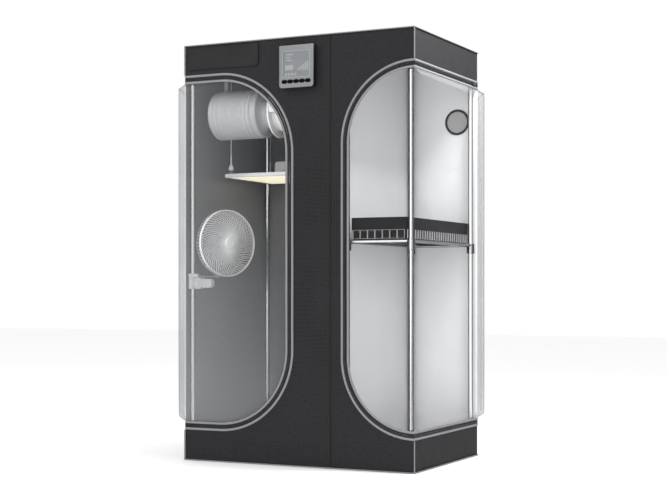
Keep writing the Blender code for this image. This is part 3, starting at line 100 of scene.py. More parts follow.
# Trim: how far panels stop inside the cover's edges, stitches, the clear film and slack ripples
TURN_IN = 0.0018
INNER_Y = HALF_D - TURN_IN
COVER_LOW, COVER_TOP = TURN_IN, HEIGHT - TURN_IN
STITCH_PITCH = 0.0042
TAPE_STITCH, SEAM_STITCH = (0.0004, 0.0004, 0.003), (0.00035, 0.00035, 0.003)
FILM = 0.0004
FILM_GAP = 0.0009
RIPPLE_DEPTH = 0.0072

# Camera worked out from the photo's vanishing lines, and the strength of the white surround
CAMERA_PLACE, CAMERA_TURN = (2.3528, -4.7695, 0.6241), 26.25
SENSOR_WIDTH = 36.0
IMAGE_WIDTH = 667
FOCAL_PIXELS = 1424.6
HORIZON_SHIFT = 0.0605
SURROUND = 1.0


# Materials

MATH = "ShaderNodeMath"


def linear(code):
    """A hex colour, such as 2B2C2F, as linear red, green, blue and alpha."""
    parts = [int(code[i:i + 2], 16) / 255 for i in (0, 2, 4)]
    return tuple(c / 12.92 if c <= 0.04045 else ((c + 0.055) / 1.055) ** 2.4 for c in parts) + (1.0,)


def feed(node, values):
    """Gives a node's inputs a value to set, or a socket or another node to link from."""
    for key, value in values.items():
        named = [s for s in node.inputs if s.name == key and s.enabled] if isinstance(key, str) else []
        socket = named[0] if named else node.inputs[key]
        if isinstance(value, bpy.types.Node):
            value = [s for s in value.outputs if s.enabled][0]
        if isinstance(value, bpy.types.NodeSocket):
            node.id_data.links.new(value, socket)
        else:
            socket.default_value = value


def add(tree, kind, inputs=None, **settings):
    """Adds one node with its settings and links."""
    node = tree.nodes.new(kind)
    for key, value in settings.items():
        setattr(node, key, value)
    feed(node, inputs or {})
    return node


def start(name, roughness=0.5, metallic=0.0, ior=1.5):
    """A new material with its Principled shader and Object coordinates."""
    mat = bpy.data.materials.new(name)
    mat.use_nodes = True
    shader = mat.node_tree.nodes["Principled BSDF"]
    feed(shader, {"Roughness": roughness, "Metallic": metallic, "IOR": ior})
    return mat, shader, add(mat.node_tree, "ShaderNodeTexCoord").outputs["Object"]


def mottled(place, dark, light, scale, detail=3.0, low=0.35, high=0.65):
    """Colour that drifts between two hex tones."""
    patch = add(place.id_data, "ShaderNodeTexNoise", {"Vector": place, "Scale": scale, "Detail": detail})
    ramp = add(place.id_data, "ShaderNodeValToRGB", {"Fac": patch})
    for stop, at, tone in zip(ramp.color_ramp.elements, (low, high), (dark, light)):
        stop.position = at
        stop.color = linear(tone)
    return ramp


def grained(place, dark, light):
    """Basket weave in tone: a wave along each axis, and two of them cross on every face.

    Each wave has a whole count over the cover, so it is nil on the cover's own planes.
    """
    tree = place.id_data
    parts = add(tree, "ShaderNodeSeparateXYZ", {"Vector": place}).outputs
    waves = []
    for socket, reach, pitch in (("X", HALF_W, 0.0062), ("Y", HALF_D, 0.0062), ("Z", HEIGHT, 0.0046)):
        rate = math.pi * round(2 * reach / pitch) / reach
        grown = add(tree, MATH, {0: parts[socket], 1: rate}, operation="MULTIPLY")
        waves.append(add(tree, MATH, {0: grown}, operation="SINE"))
    fine = add(tree, "ShaderNodeTexNoise", {"Vector": place, "Scale": 160.0, "Detail": 2.0})
    total = add(tree, MATH, {0: fine, 1: 0.5}, operation="SUBTRACT")
    total = add(tree, MATH, {0: total, 1: 1.6}, operation="MULTIPLY")
    for a, b in ((0, 2), (1, 2), (0, 1)):
        crossed = add(tree, MATH, {0: waves[a], 1: waves[b]}, operation="MULTIPLY")
        total = add(tree, MATH, {0: total, 1: crossed}, operation="ADD")
    share = add(tree, "ShaderNodeMapRange", {"Value": total, "From Min": -0.8, "From Max": 0.8})
    tones = {"Factor": share, "A": linear(dark), "B": linear(light)}
    return add(tree, "ShaderNodeMix", tones, data_type="RGBA")


def weave_height(place, pitch):
    """Over and under threads: crossed sine bands with a real thread pitch in metres."""
    tree = place.id_data
    inputs = {"Vector": place, "Scale": math.tau / pitch / 20, "Distortion": 0.0}
    bands = []
    for axis in "XYZ":
        node = add(tree, "ShaderNodeTexWave", inputs, bands_direction=axis, wave_profile="SIN")
        bands.append(node.outputs["Fac"])
    both = add(tree, MATH, {0: bands[0], 1: bands[1]}, operation="MULTIPLY")
    return add(tree, MATH, {0: both, 1: bands[2]}, operation="ADD")


def woven(name, dark, light, pitch, roughness, depth, sheen=0.0):
    """Woven cloth: threads at their pitch, slack ripples and a slow drift of tone."""
    mat, shader, place = start(name, roughness)
    tree = mat.node_tree
    ripples = add(tree, "ShaderNodeTexNoise", {"Vector": place, "Scale": 9.0, "Detail": 3.0})
    loose = add(tree, "ShaderNodeBump", {"Height": ripples, "Distance": RIPPLE_DEPTH, "Strength": 0.6})
    threads = {"Height": weave_height(place, pitch), "Distance": depth, "Strength": 0.5, "Normal": loose}
    feed(shader, {"Base Color": grained(place, dark, light), "Specular IOR Level": 0.22,
            "Sheen Weight": sheen, "Sheen Roughness": 0.5, "Normal": add(tree, "ShaderNodeBump", threads)})
    return mat


def moulded(name, dark, light, roughness, grain, depth, gloss=0.5):
    """Moulded plastic: a fine eroded grain and a slight change of tone."""
    mat, shader, place = start(name, roughness, 0.0, 1.53)
    tree = mat.node_tree
    fine = add(tree, "ShaderNodeTexNoise", {"Vector": place, "Scale": 1 / grain, "Detail": 2.0})
    relief = add(tree, "ShaderNodeBump", {"Height": fine, "Distance": depth, "Strength": 0.35})
    worn = {"Value": fine, "To Min": roughness - 0.05, "To Max": roughness + 0.07}
    feed(shader, {"Base Color": mottled(place, dark, light, 14.0), "Specular IOR Level": gloss,
            "Roughness": add(tree, "ShaderNodeMapRange", worn), "Normal": relief})
    return mat


def drawn_gloss(place, roughness, stretch, scale, detail):
    """Roughness in marks that run along one way."""
    tree = place.id_data
    along = add(tree, "ShaderNodeMapping", {"Vector": place, "Scale": stretch})
    marks = add(tree, "ShaderNodeTexNoise", {"Vector": along, "Scale": scale, "Detail": detail})
    ends = {"Value": marks, "To Min": roughness - 0.02, "To Max": roughness + 0.03}
    return add(tree, "ShaderNodeMapRange", ends)


def brushed(name, dark, light, roughness, stretch):
    """Drawn or brushed metal: marks that run along one way."""
    mat, shader, place = start(name, roughness, 1.0)
    feed(shader, {"Base Color": mottled(place, dark, light, 8.0),
            "Roughness": drawn_gloss(place, roughness, stretch, 60.0, 4.0)})
    return mat


def painted_highlight_tube(name, edge, middle, roughness, core=0.13):
    """Round tube with a metal plating and a painted highlight: a bright line along the side that faces the
    viewer, and darker flanks of painted reflection.
    """
    mat, shader, place = start(name, roughness, 1.0)
    tree = mat.node_tree
    # painted highlight: the middle tone where the tube faces the viewer, the darker edge tone toward its
    # outline
    turned = add(tree, "ShaderNodeLayerWeight", {"Blend": 0.5}).outputs["Facing"]
    inputs = {"Value": turned, "From Min": core / 8, "From Max": core}
    share = add(tree, "ShaderNodeMapRange", inputs, interpolation_type="SMOOTHSTEP")
    tones = {"Factor": share, "A": linear(middle), "B": linear(edge)}
    marks = drawn_gloss(place, roughness, (1.0, 1.0, 0.03), 40.0, 2.0)
    feed(shader, {"Base Color": add(tree, "ShaderNodeMix", tones, data_type="RGBA"), "Roughness": marks})
    return mat


def foil(name, dark, light, metallic, roughness):
    """Foil laminated on the inside of the cloth: soft sheen, small creases and shallow folds."""
    mat, shader, place = start(name, roughness, metallic)
    tree = mat.node_tree
    crease = add(tree, "ShaderNodeTexVoronoi", {"Vector": place, "Scale": 7.0}, feature="SMOOTH_F1")
    crease = add(tree, "ShaderNodeBump", {"Height": crease, "Distance": 0.006, "Strength": 0.25})
    inputs = {"Vector": place, "Scale": 5.0, "Detail": 4.0, "Distortion": 0.8}
    folds = add(tree, "ShaderNodeTexNoise", inputs)
    folds = {"Height": folds, "Distance": 0.01, "Strength": 0.5, "Normal": crease}
    feed(shader, {"Base Color": mottled(place, dark, light, 2.2, 2.0, 0.3, 0.7),
            "Normal": add(tree, "ShaderNodeBump", folds)})
    return mat


def vinyl(name, tint, haze):
    """Clear vinyl sheet, whiter and less clear at a slant: a painted sheen. The left door is paler and less
    clear, more so low down and toward its outer edge.
    """
    mat, shader, place = start(name, 0.12, 0.0, 1.52)
    tree = mat.node_tree
    inputs = {"Vector": place, "Scale": 6.0, "Detail": 2.0, "Distortion": 1.2}
    waves = {"Height": add(tree, "ShaderNodeTexNoise", inputs), "Distance": 0.008, "Strength": 0.35}
    # painted sheen: the sheet grows whiter and less clear at a slant
    edge = add(tree, "ShaderNodeLayerWeight", {"Blend": 0.5}).outputs["Facing"]
    parts = add(tree, "ShaderNodeSeparateXYZ", {"Vector": place}).outputs
    names = ("Value", "From Min", "From Max", "To Min", "To Max")
    cover, near, low, side = [add(tree, "ShaderNodeMapRange", dict(zip(names, row))) for row in (
            (edge, 0.7, 1.0, haze, 0.3), (parts["X"], 0.06, -0.1, 0.0, 1.0),
            (parts["Z"], 0.95, 0.25, 0.006, 0.09), (parts["X"], -0.12, -0.42, 0.0, 0.048))]
    # the left door is paler and less clear, more so low down and toward its outer edge
    left_door_pale = add(tree, MATH, {0: near, 1: low}, operation="MULTIPLY")
    left_door_pale = add(tree, MATH, {0: left_door_pale, 1: side}, operation="ADD")
    feed(shader, {"Base Color": linear(tint), "Specular IOR Level": 0.5,
            "Alpha": add(tree, MATH, {0: left_door_pale, 1: cover}, operation="ADD"),
            "Normal": add(tree, "ShaderNodeBump", waves)})
    return mat


def welded(name, tint, cover):
    """Welded double edge of the vinyl: milky, but light still passes."""
    mat, shader, place = start(name, 0.3, 0.0, 1.52)
    feed(shader, {"Base Color": mottled(place, tint, "9B9C9E", 6.0), "Alpha": cover})
    return mat


def lit(name, colour, strength):
    """Frosted cover over rows of small lamps that are switched on."""
    mat, shader, place = start(name, 0.35)
    tree = mat.node_tree
    lamps = add(tree, "ShaderNodeTexVoronoi", {"Vector": place, "Scale": 38.0, "Randomness": 0.0})
    inputs = {"Value": lamps, "From Max": 0.55, "To Min": strength * 1.25, "To Max": strength * 0.8}
    feed(shader, {"Base Color": linear(colour), "Emission Color": linear(colour),
            "Emission Strength": add(tree, "ShaderNodeMapRange", inputs)})
    return mat


def make_materials():
    """Every finish of the tent, by a short key."""
    return {
        # 600-thread polyester: flat black with a visible basket weave, drawn at 3 mm so that it shows
        "cloth": woven("oxford_polyester_woven", "0A0A0B", "2C2C2F", 0.003, 0.8, 0.0004),
        # the foil laminate of both chambers: bright in the right one and on the roof, dark grey in the left
        # one, inside the front and on the floor; the divider's right face takes a greyer copy of the bright
        # foil, painted shade
        "bright_lining": foil("foil_laminate_clean", "E6E7E8", "F4F4F5", 0.05, 0.42),
        "shaded_lining": foil("foil_laminate_painted_shade", "C8C9CB", "D2D3D5", 0.05, 0.5),
        "dull_lining": foil("foil_laminate_dark_grey", "5E5F61", "6E6F72", 0.25, 0.5),
        # vinyl cord wrapped in knit: light grey with a soft sheen
        "piping": woven("piping_knit_grey", "737376", "8A8A8D", 0.0012, 0.55, 0.0002),
        # woven polyester tape: flat and nearly black
        "tape": woven("zip_tape_woven", "121214", "1C1C1F", 0.001, 0.7, 0.0002),
        # nylon coil: dark grey with a soft gloss
        "teeth": moulded("zip_coil_nylon", "29292C", "3B3B3F", 0.35, 0.0006, 0.00005),
        # bonded thread: a lighter grey row of dots
        "stitch": woven("thread_bonded_nylon", "55555A", "6A6A70", 0.0006, 0.5, 0.0001),
        # clear vinyl: hardly seen face on, whiter at a slant as a painted sheen, paler and less clear low
        # down on the left door
        "film": vinyl("vinyl_clear_sheet", "C9CCCF", 0.01),
        # steel tube with zinc plating: satin silver, drawn along its length, with a painted highlight toward
        # the viewer and painted reflection of dark surroundings on its flanks
        "steel": painted_highlight_tube("steel_tube_painted_highlight", "46474A", "B9BABD", 0.17),
        "rail": brushed("steel_rail_zinc_satin", "A6A7AA", "AEAFB2", 0.22, (0.05, 0.05, 1.0)),
        # injection-moulded ABS: even satin with a very fine spark-eroded grain
        "pale": moulded("abs_moulded_pale_grey", "B7B8BB", "C3C4C6", 0.42, 0.0012, 0.00006),
        "white": moulded("abs_moulded_white", "DADADA", "E6E6E6", 0.38, 0.0012, 0.00006),
        "black": moulded("abs_moulded_black", "0C0C0E", "131315", 0.5, 0.001, 0.00006, 0.2),
        # moulded polypropylene: black and a little waxy
        "tray": moulded("polypropylene_tray_black", "0A0A0B", "111113", 0.6, 0.0016, 0.0001, 0.1),
        # display segments: paler than the lens round them
        "mark": moulded("lcd_segment_pale", "838688", "8A8D8F", 0.5, 0.003, 0.00001),
        # polyester fleece: light grey, soft and without gloss
        "fleece": woven("polyester_fleece_sleeve", "A0A1A3", "ADAEB0", 0.002, 0.9, 0.0004),
        # the cover's cloth doubled in a seam: black with a warm edge
        "seam": woven("oxford_polyester_seam", "120B07", "1C120C", 0.003, 0.75, 0.0003, 0.1),
        # polyester net: an even mid grey
        "mesh": moulded("mesh_polyester_grey", "8C8C8E", "98989A", 0.6, 0.001, 0.00004),
        # moulded frame of the display: a pale satin line
        "bezel": moulded("abs_bezel_pale", "8A8C8F", "929496", 0.4, 0.0012, 0.00004),
        # soft overmould: near black and rubbery
        "dark": moulded("tpe_overmould_dark", "121214", "1A1A1C", 0.6, 0.001, 0.00006, 0.2),
        # PVC patch: matt black, a shade lighter than the cloth
        "rubber": moulded("pvc_patch_black_matt", "151517", "1C1C1E", 0.62, 0.0012, 0.00008, 0.2),
        # display lens: plain grey, smooth enough for a faint shine
        "lcd": moulded("lcd_lens_grey", "686B6D", "707375", 0.3, 0.003, 0.00001),
        # moulded polypropylene: near white, satin
        "guard": moulded("pp_moulded_pale", "E0E1E2", "EAEAEB", 0.45, 0.0012, 0.00005),
        # painted sheet steel: light grey and matt
        "canister": moulded("steel_sheet_painted_grey", "9E9FA1", "A7A8AA", 0.6, 0.0012, 0.00004),
        # rubber keys: the blackest and dullest part
        "ink": moulded("rubber_key_black", "050506", "08080A", 0.75, 0.001, 0.00004, 0.05),
        # rail: a lighter copy of the tube, painted light, with a bright painted highlight between darker
        # flanks of painted reflection
        "bright_rail": painted_highlight_tube("steel_rail_painted_highlight", "77787B", "D6D7D9", 0.28, 0.5),
        # grey ABS and polypropylene: satin, each a shade apart
        "clamp": moulded("abs_clamp_grey", "9C9DA0", "A8A9AC", 0.45, 0.0012, 0.00006, 0.35),
        "wheel": moulded("pp_wheel_grey", "8A8B8D", "949597", 0.45, 0.0012, 0.00005),
        "grey": moulded("abs_painted_grey", "6C6E70", "747678", 0.4, 0.001, 0.00005),
        # rib edges: pale grey, a painted highlight where the moulded edges catch the light
        "tray_edge": moulded("polypropylene_rib_painted_highlight", "9A9A9D", "A8A8AB", 0.42, 0.0014, 0.00008),
        # die-cast zinc in black nickel: dark, with a sharp glint
        "zipmetal": brushed("zinc_slider_black_nickel", "3A3A3D", "56565A", 0.32, (1.0, 1.0, 1.0)),
        # woven webbing: light grey with coarse ribs
        "webbing": woven("webbing_woven_grey", "9FA0A2", "ACADAF", 0.0022, 0.75, 0.0004),
        # braided rope: almost white and soft
        "rope": woven("rope_braided_pale", "DADBDC", "EDEDEE", 0.0016, 0.7, 0.0004),
        # anodised aluminium: pale satin
        "alloy": brushed("aluminium_anodised_satin", "C9CACB", "DADBDB", 0.34, (1.0, 0.1, 1.0)),
        # welded and folded vinyl: milky, but light passes, with a dark cut edge and a dark line of painted
        # shade along the fold's crease
        "hem": welded("vinyl_welded_edge", "8E8F91", 0.55),
        "front_hem": welded("vinyl_folded_edge", "8E8F91", 0.7),
        "hem_line": moulded("vinyl_cut_edge_and_crease_shade", "2E2F31", "3A3B3D", 0.4, 0.002, 0.00002),
        # frosted acrylic over lit lamps: warm white
        "glow": lit("acrylic_diffuser_lit", "F7EFD2", 0.95),
    }


# Mesh helpers

def steps(count, first=0.0, last=1.0):
    """Evenly spaced values, both ends included."""
    return [first + (last - first) * k / (count - 1) for k in range(count)]


def fade(value, low, high):
    """Smooth rise from 0 at low to 1 at high."""
    t = min(max((value - low) / (high - low), 0.0), 1.0)
    return t * t * (3 - 2 * t)


def grid(bm, rows, loop=False, band=0):
    """Quads over rows of equal length. Returns the new faces, with a material index."""
    verts = [[bm.verts.new(p) for p in row] for row in rows]
    faces = []
    for a, b in zip(verts, verts[1:]):
        count = len(a)
        for i in range(count if loop else count - 1):
            j = (i + 1) % count
            face = bm.faces.new((a[i], a[j], b[j], b[i]))
            face.material_index = band
            faces.append(face)
    return faces


def loft(bm, rows, band=0, capped=True):
    """Closed rings of equal length joined into a tube, with flat ends."""
    faces = grid(bm, rows, True, band)
    if capped:
        count = len(rows[0])
        bm.faces.new([f.verts[0] for f in faces[:count]][::-1]).material_index = band
        bm.faces.new([f.verts[3] for f in faces[-count:]]).material_index = band


def turns(count):
    """Angles of a full turn."""
    return [math.tau * k / count for k in range(count)]


def square_to(axis):
    """An axis as a unit vector, with two directions square to it."""
    axis = Vector(axis).normalized()
    helper = UP if abs(axis.z) < 0.7 else RIGHT
    u = axis.cross(helper).normalized()
    return axis, u, axis.cross(u)


def frames_along(points, up):
    """Side and upright directions at each point of a path, turned as little as possible."""
    found, side = [], None
    for n in range(len(points)):
        ahead = points[min(n + 1, len(points) - 1)] - points[max(n - 1, 0)]
        ahead.normalize()
        if side is None:
            side = ahead.cross(Vector(up))
        side = (side - ahead * side.dot(ahead)).normalized()
        found.append((side, ahead.cross(side).normalized()))
    return found


def pipe(bm, points, radius, sides=10, up=(0, 0, 1), band=0):
    """A round bead along a path, with closed ends."""
    points = [Vector(p) for p in points]
    rows = []
    for p, (u, v) in zip(points, frames_along(points, up)):
        rows.append([p + u * (radius * math.cos(a)) + v * (radius * math.sin(a)) for a in turns(sides)])
    loft(bm, rows, band)


def spun(bm, centre, axis, profile, sides=48, band=0, capped=True):
    """A turned form: (along, radius) points round an axis."""
    axis, u, v = square_to(axis)
    rows = []
    for along, radius in profile:
        rows.append([Vector(centre) + axis * along + u * (radius * math.cos(a))
                + v * (radius * math.sin(a)) for a in turns(sides)])
    loft(bm, rows, band, capped)


def hoop(bm, centre, axis, section, sides, band=0):
    """A ring turned from a closed section."""
    spun(bm, centre, axis, section + section[:1], sides, band, False)


def arc(count, first, last, middle, radius, tall=None):
    """Points of an arc or a part of an ellipse, from one angle in degrees to another."""
    tall = radius if tall is None else tall
    return [(middle[0] + radius * math.cos(a), middle[1] + tall * math.sin(a))
            for a in steps(count, math.radians(first), math.radians(last))]


def eased(count, first, last, low, high):
    """Points along a soft step from one height to another."""
    return [(first + (last - first) * t, low + (high - low) * fade(t, 0, 1)) for t in steps(count)]


def rounded(width, height, radius, count=5):
    """Corner-rounded rectangle about its centre."""
    points = []
    for k, (sx, sy) in enumerate(((1, 1), (-1, 1), (-1, -1), (1, -1))):
        points += arc(count, 90 * k, 90 * (k + 1), (sx * (width / 2 - radius), sy * (height / 2 - radius)),
                radius)
    return points


def plane(at, along, high, facing):
    """A map from (u, v, d) to space: u and v run in a plane through a point, and d stands out of it."""
    return lambda u, v, d: at + along * u + high * v + facing * d


def upright(x, y, z, facing=-DEEP):
    """The plane of a front face, or another one that stands upright, through a point."""
    return plane(Vector((x, y, z)), RIGHT, UP, facing)


def slab(bm, outline, to_world, near, far, edge=0.0, band=0):
    """An outline pushed from near to far, with a chamfered far edge."""
    def shrunk(by):
        cx = sum(u for u, v in outline) / len(outline)
        cy = sum(v for u, v in outline) / len(outline)
        half_w = max(u for u, v in outline) - cx
        half_h = max(v for u, v in outline) - cy
        return [(cx + (u - cx) * (1 - by / half_w), cy + (v - cy) * (1 - by / half_h)) for u, v in outline]

    levels = [(near, 0.0), (far, edge)]
    if edge:
        levels.insert(1, (far - math.copysign(edge, far - near), 0.0))
    loft(bm, [[Vector(to_world(u, v, d)) for u, v in shrunk(by)] for d, by in levels], band)


def linked(name, data):
    """A new object in the scene."""
    obj = bpy.data.objects.new(name, data)
    bpy.context.scene.collection.objects.link(obj)
    return obj


def meshed(name, bm):
    """A bmesh as a mesh."""
    mesh = bpy.data.meshes.new(name)
    bm.to_mesh(mesh)
    bm.free()
    return mesh


def settled(obj):
    """The mesh of an object with its modifiers applied."""
    return bpy.data.meshes.new_from_object(obj.evaluated_get(bpy.context.evaluated_depsgraph_get()))


def piece(name, bm, looks, body, node="", sharp=35, keep_normals=False):
    """Turns the mesh into a finished piece that rides on its body, and may stand for a solid."""
    if not keep_normals:
        bmesh.ops.recalc_face_normals(bm, faces=bm.faces)
    mesh = meshed(name, bm)
    obj = linked(name, mesh)
    for key in looks.split():
        mesh.materials.append(look(key))
    mesh.shade_smooth()
    mesh.set_sharp_from_angle(angle=math.radians(sharp))
    if node:
        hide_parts(node)
    if body:
        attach(obj, body)
    return obj


LOOKS = {}


def look(key):
    """A finish by its short key."""
    return LOOKS[key]


# Settings shown in the sidebar

class TentSizes(bpy.types.PropertyGroup):
    """Sizes that a user of the tent would change."""
    cloth: bpy.props.FloatProperty(name="Cloth", description="Thickness of the woven cover",
                                   default=0.0012, min=0.0005, max=0.002, unit="LENGTH")
    piping: bpy.props.FloatProperty(name="Piping", description="Width of the bead on each side of a zip band",
                                    default=0.0084, min=0.004, max=0.01, unit="LENGTH")
    tooth_pitch: bpy.props.FloatProperty(name="Zip pitch", description="Distance between zip teeth",
                                         default=0.0036, min=0.002, max=0.006, unit="LENGTH")
    billow: bpy.props.FloatProperty(name="Billow", description="How far the taut cover still ripples",
                                    default=0.0014, min=0.0, max=0.004, unit="LENGTH")
    grille_wires: bpy.props.IntProperty(name="Grille wires", default=60, min=24, max=90,
                                        description="Swirled wires in the clip fan's front guard")
    wire: bpy.props.FloatProperty(name="Grille wire", description="Thickness of one guard wire",
                                  default=0.0028, min=0.001, max=0.004, unit="LENGTH")
    side_ribs: bpy.props.IntProperty(name="Tray ribs", default=26, min=10, max=60,
                                     description="Moulded ribs along each long side of the tray")
    front_cells: bpy.props.IntProperty(name="Tray cells", description="Wide cells along the tray's front",
                                       default=7, min=3, max=12)


class TentColours(bpy.types.PropertyGroup):
    """Colours and lights of the room round the tent."""
    floor: bpy.props.FloatVectorProperty(name="Floor", description="Plain pale floor", subtype="COLOR",
                                         size=3, default=(0.94, 0.94, 0.94), min=0, max=1)
    key_power: bpy.props.FloatProperty(name="Key light", default=95.0, min=0.0, max=600.0,
                                       description="Power of the large soft light, in watts")
    front_power: bpy.props.FloatProperty(name="Front light", default=56.0, min=0.0, max=600.0,
                                         description="Power of the soft light near the camera, in watts")
    fill_power: bpy.props.FloatProperty(name="Side light", default=44.0, min=0.0, max=600.0,
                                        description="Power of the light high at the right, in watts")


# Door line, unfolded: s runs along the front from the middle to the corner, then along the side to the back

def folded(side, s, z, proud):
    """A point of the unfolded door line in space, proud of the cover."""
    if s <= HALF_W:
        return Vector((side * s, -HALF_D - proud - ripple(side * s, z), z))
    return Vector((side * (HALF_W + proud), -HALF_D + s - HALF_W, z))


def ripple(x, z):
    """Slack of the front cover between the two doors, nil at the header, the footer and the corners."""
    reach = fade(z, 0.14, 0.4) * (1 - fade(z, 1.1, 1.33)) * (1 - fade(abs(x - 0.09), 0.06, 0.3))
    wave = 0.6 * noise.noise(Vector((x * 7, 3.1, z * 4))) + 0.4 * noise.noise(Vector((x * 19, 8.4, z * 9)))
    return reach * bpy.context.scene.tent_sizes.billow * (0.5 + wave)


def door_path(side, inset):
    """(s, z) points of a door line, from the back edge at the top to the back edge at the bottom."""
    edge, bend = WINDOWS[side]
    edge = edge * side
    middle, r = edge + bend, bend - inset
    top, low = WINDOW_TOP - inset, WINDOW_LOW + inset
    back = HALF_W + 2 * HALF_D
    straight = HALF_W - middle > SEAT
    line = [(s, top) for s in steps(16, back, HALF_W)]
    if straight:
        line += [(s, top) for s in steps(6, HALF_W, middle)][1:]
    line += arc(28, 90, 180, (middle, WINDOW_TOP - bend), r)[1:]
    line += [(edge + inset, z) for z in steps(20, WINDOW_TOP - bend, WINDOW_LOW + bend)][1:]
    line += arc(28, 180, 270, (middle, WINDOW_LOW + bend), r)[1:]
    if straight:
        line += [(s, low) for s in steps(6, middle, HALF_W)][1:]
    return line + [(s, low) for s in steps(16, HALF_W, back)][1:]


def band_strip(bm, side, section):
    """Sweeps (inset, proud, material) points along the door line."""
    lines = [door_path(side, inset) for inset, _, _ in section]
    rows = []
    for (_, proud, _), line in zip(section, lines):
        rows.append([folded(side, s, z, proud) for s, z in line])
    verts = [[bm.verts.new(p) for p in row] for row in rows]
    for (a, b), (_, _, band) in zip(zip(verts, verts[1:]), section):
        for i in range(len(a) - 1):
            bm.faces.new((a[i], a[i + 1], b[i + 1], b[i])).material_index = band


def bead_section(near, far, tape_to):
    """Round piping from near to far, with its foot on the cover, then flat tape to tape_to."""
    height, tape = 0.003, 0.0011
    bead = [(u, v, 0) for u, v in arc(7, 180, 0, ((near + far) / 2, SEAT), (far - near) / 2, height)]
    bead[-1] = (far, tape, 1)
    return bead + [(tape_to, tape, 1), (tape_to, SEAT, 1)]


class TENT_OT_zip_bands(bpy.types.Operator):
    """Piping and tape on both sides of each door zip"""
    bl_idname = "tent.zip_bands"
    bl_label = "Zip bands"

    def execute(self, context):
        width = context.scene.tent_sizes.piping
        for label, side in (("left", -1), ("right", 1)):
            for part, body, node, section in (
                    ("outer", "tent", "zip_track", bead_section(0.0, width, BAND / 2 - 0.0007)),
                    ("inner", f"{label}_door", "door_zip_tape",
                     bead_section(BAND, BAND - width, BAND / 2 + 0.0007))):
                bm = bmesh.new()
                band_strip(bm, side, section)
                piece(f"{label}_band_{part}", bm, "piping tape", body, f"{label}_{node}", 60)
        return {"FINISHED"}


def open_tree(name, **sockets):
    """A Geometry Nodes group with a geometry output and the named inputs."""
    tree = bpy.data.node_groups.new(name, "GeometryNodeTree")
    tree.interface.new_socket("Geometry", in_out="OUTPUT", socket_type="NodeSocketGeometry")
    for label, kind in sockets.items():
        tree.interface.new_socket(label, in_out="INPUT", socket_type=f"NodeSocket{kind}")
    return tree, add(tree, "NodeGroupInput").outputs


def close_tree(tree, geometry, finish):
    """Turns instances into a plain mesh of one finish, as the group's output."""
    real = add(tree, "GeometryNodeRealizeInstances", {"Geometry": geometry})
    done = add(tree, "GeometryNodeSetMaterial", {"Geometry": real, "Material": finish})
    add(tree, "NodeGroupOutput", {"Geometry": done})
    return tree


def run_tree(name, mesh, tree, inputs, body, place=None):
    """Runs a node group over a mesh and leaves the result as a plain piece."""
    host = linked(name + "_rail", mesh)
    modifier = host.modifiers.new("repeat", "NODES")
    modifier.node_group = tree
    sockets = {s.name: s.identifier for s in tree.interface.items_tree if s.in_out == "INPUT"}
    for key, value in inputs.items():
        modifier[sockets[key]] = value
    made = settled(host)
    bpy.data.objects.remove(host)
    if place:
        made.transform(place)
    obj = linked(name, made)
    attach(obj, body)


def repeat_tree(name, shape):
    """Geometry Nodes: copies one small mesh along a rail of points, turned to the rail."""
    tree, given = open_tree(name, Rail="Geometry", Pitch="Float", Size="Vector", Finish="Material")
    rail = add(tree, "GeometryNodeMeshToCurve", {"Mesh": given["Rail"]})
    inputs = {"Curve": rail, "Length": given["Pitch"]}
    spots = add(tree, "GeometryNodeCurveToPoints", inputs, mode="LENGTH").outputs
    part = shape(tree, given["Size"])
    inputs = {"Points": spots["Points"], "Instance": part, "Rotation": spots["Rotation"]}
    return close_tree(tree, add(tree, "GeometryNodeInstanceOnPoints", inputs), given["Finish"])


def block_shape(tree, size):
    """A plain block."""
    return add(tree, "GeometryNodeMeshCube", {"Size": size})


def thread_shape(tree, size):
    """A short six-sided stitch, lying along the rail."""
    parts = add(tree, "ShaderNodeSeparateXYZ", {"Vector": size}).outputs
    return add(tree, "GeometryNodeMeshCylinder", {"Vertices": 6, "Radius": parts["X"], "Depth": parts["Z"]})


def along_rails(name, rails, shape, pitch, size, finish, body="tent"):
    """Runs the repeat tree over open lines of points, and leaves a plain mesh."""
    bm = bmesh.new()
    for line in rails:
        verts = [bm.verts.new(p) for p in line]
        for a, b in zip(verts, verts[1:]):
            bm.edges.new((a, b))
    mesh = meshed(name + "_rail", bm)
    inputs = {"Pitch": pitch, "Size": size, "Finish": look(finish)}
    run_tree(name, mesh, repeat_tree(name + "_repeat", shape), inputs, body)


def stitched(name, rails, size, finish, body="tent"):
    """Rows of stitches along lines of points."""
    along_rails(name, rails, thread_shape, STITCH_PITCH, size, finish, body)


class TENT_OT_zip_teeth(bpy.types.Operator):
    """Teeth in the slot of each zip, and the rows of stitches that hold its tapes"""
    bl_idname = "tent.zip_teeth"
    bl_label = "Zip teeth and stitches"

    def execute(self, context):
        sizes = context.scene.tent_sizes
        for label, side in (("left", -1), ("right", 1)):
            for part, body, offset in (("outer", "tent", -0.0017), ("inner", f"{label}_door", 0.0017)):
                last = HALF_W + 2 * HALF_D - (0.006 if part == "inner" else 0.0)
                rail = [folded(side, min(s, last), z, 0.0016) for s, z in door_path(side, BAND / 2 + offset)]
                along_rails(f"{label}_teeth_{part}", [rail], block_shape, sizes.tooth_pitch,
                        (0.003, 0.0014, sizes.tooth_pitch * 0.55), "teeth", body)
                far = BAND / 2 + math.copysign(0.0062, offset)
                seam = [folded(side, min(s, last), z, 0.0013) for s, z in door_path(side, far)]
                stitched(f"{label}_stitch_{part}", [seam], TAPE_STITCH, "stitch", body)
        return {"FINISHED"}


# Cover


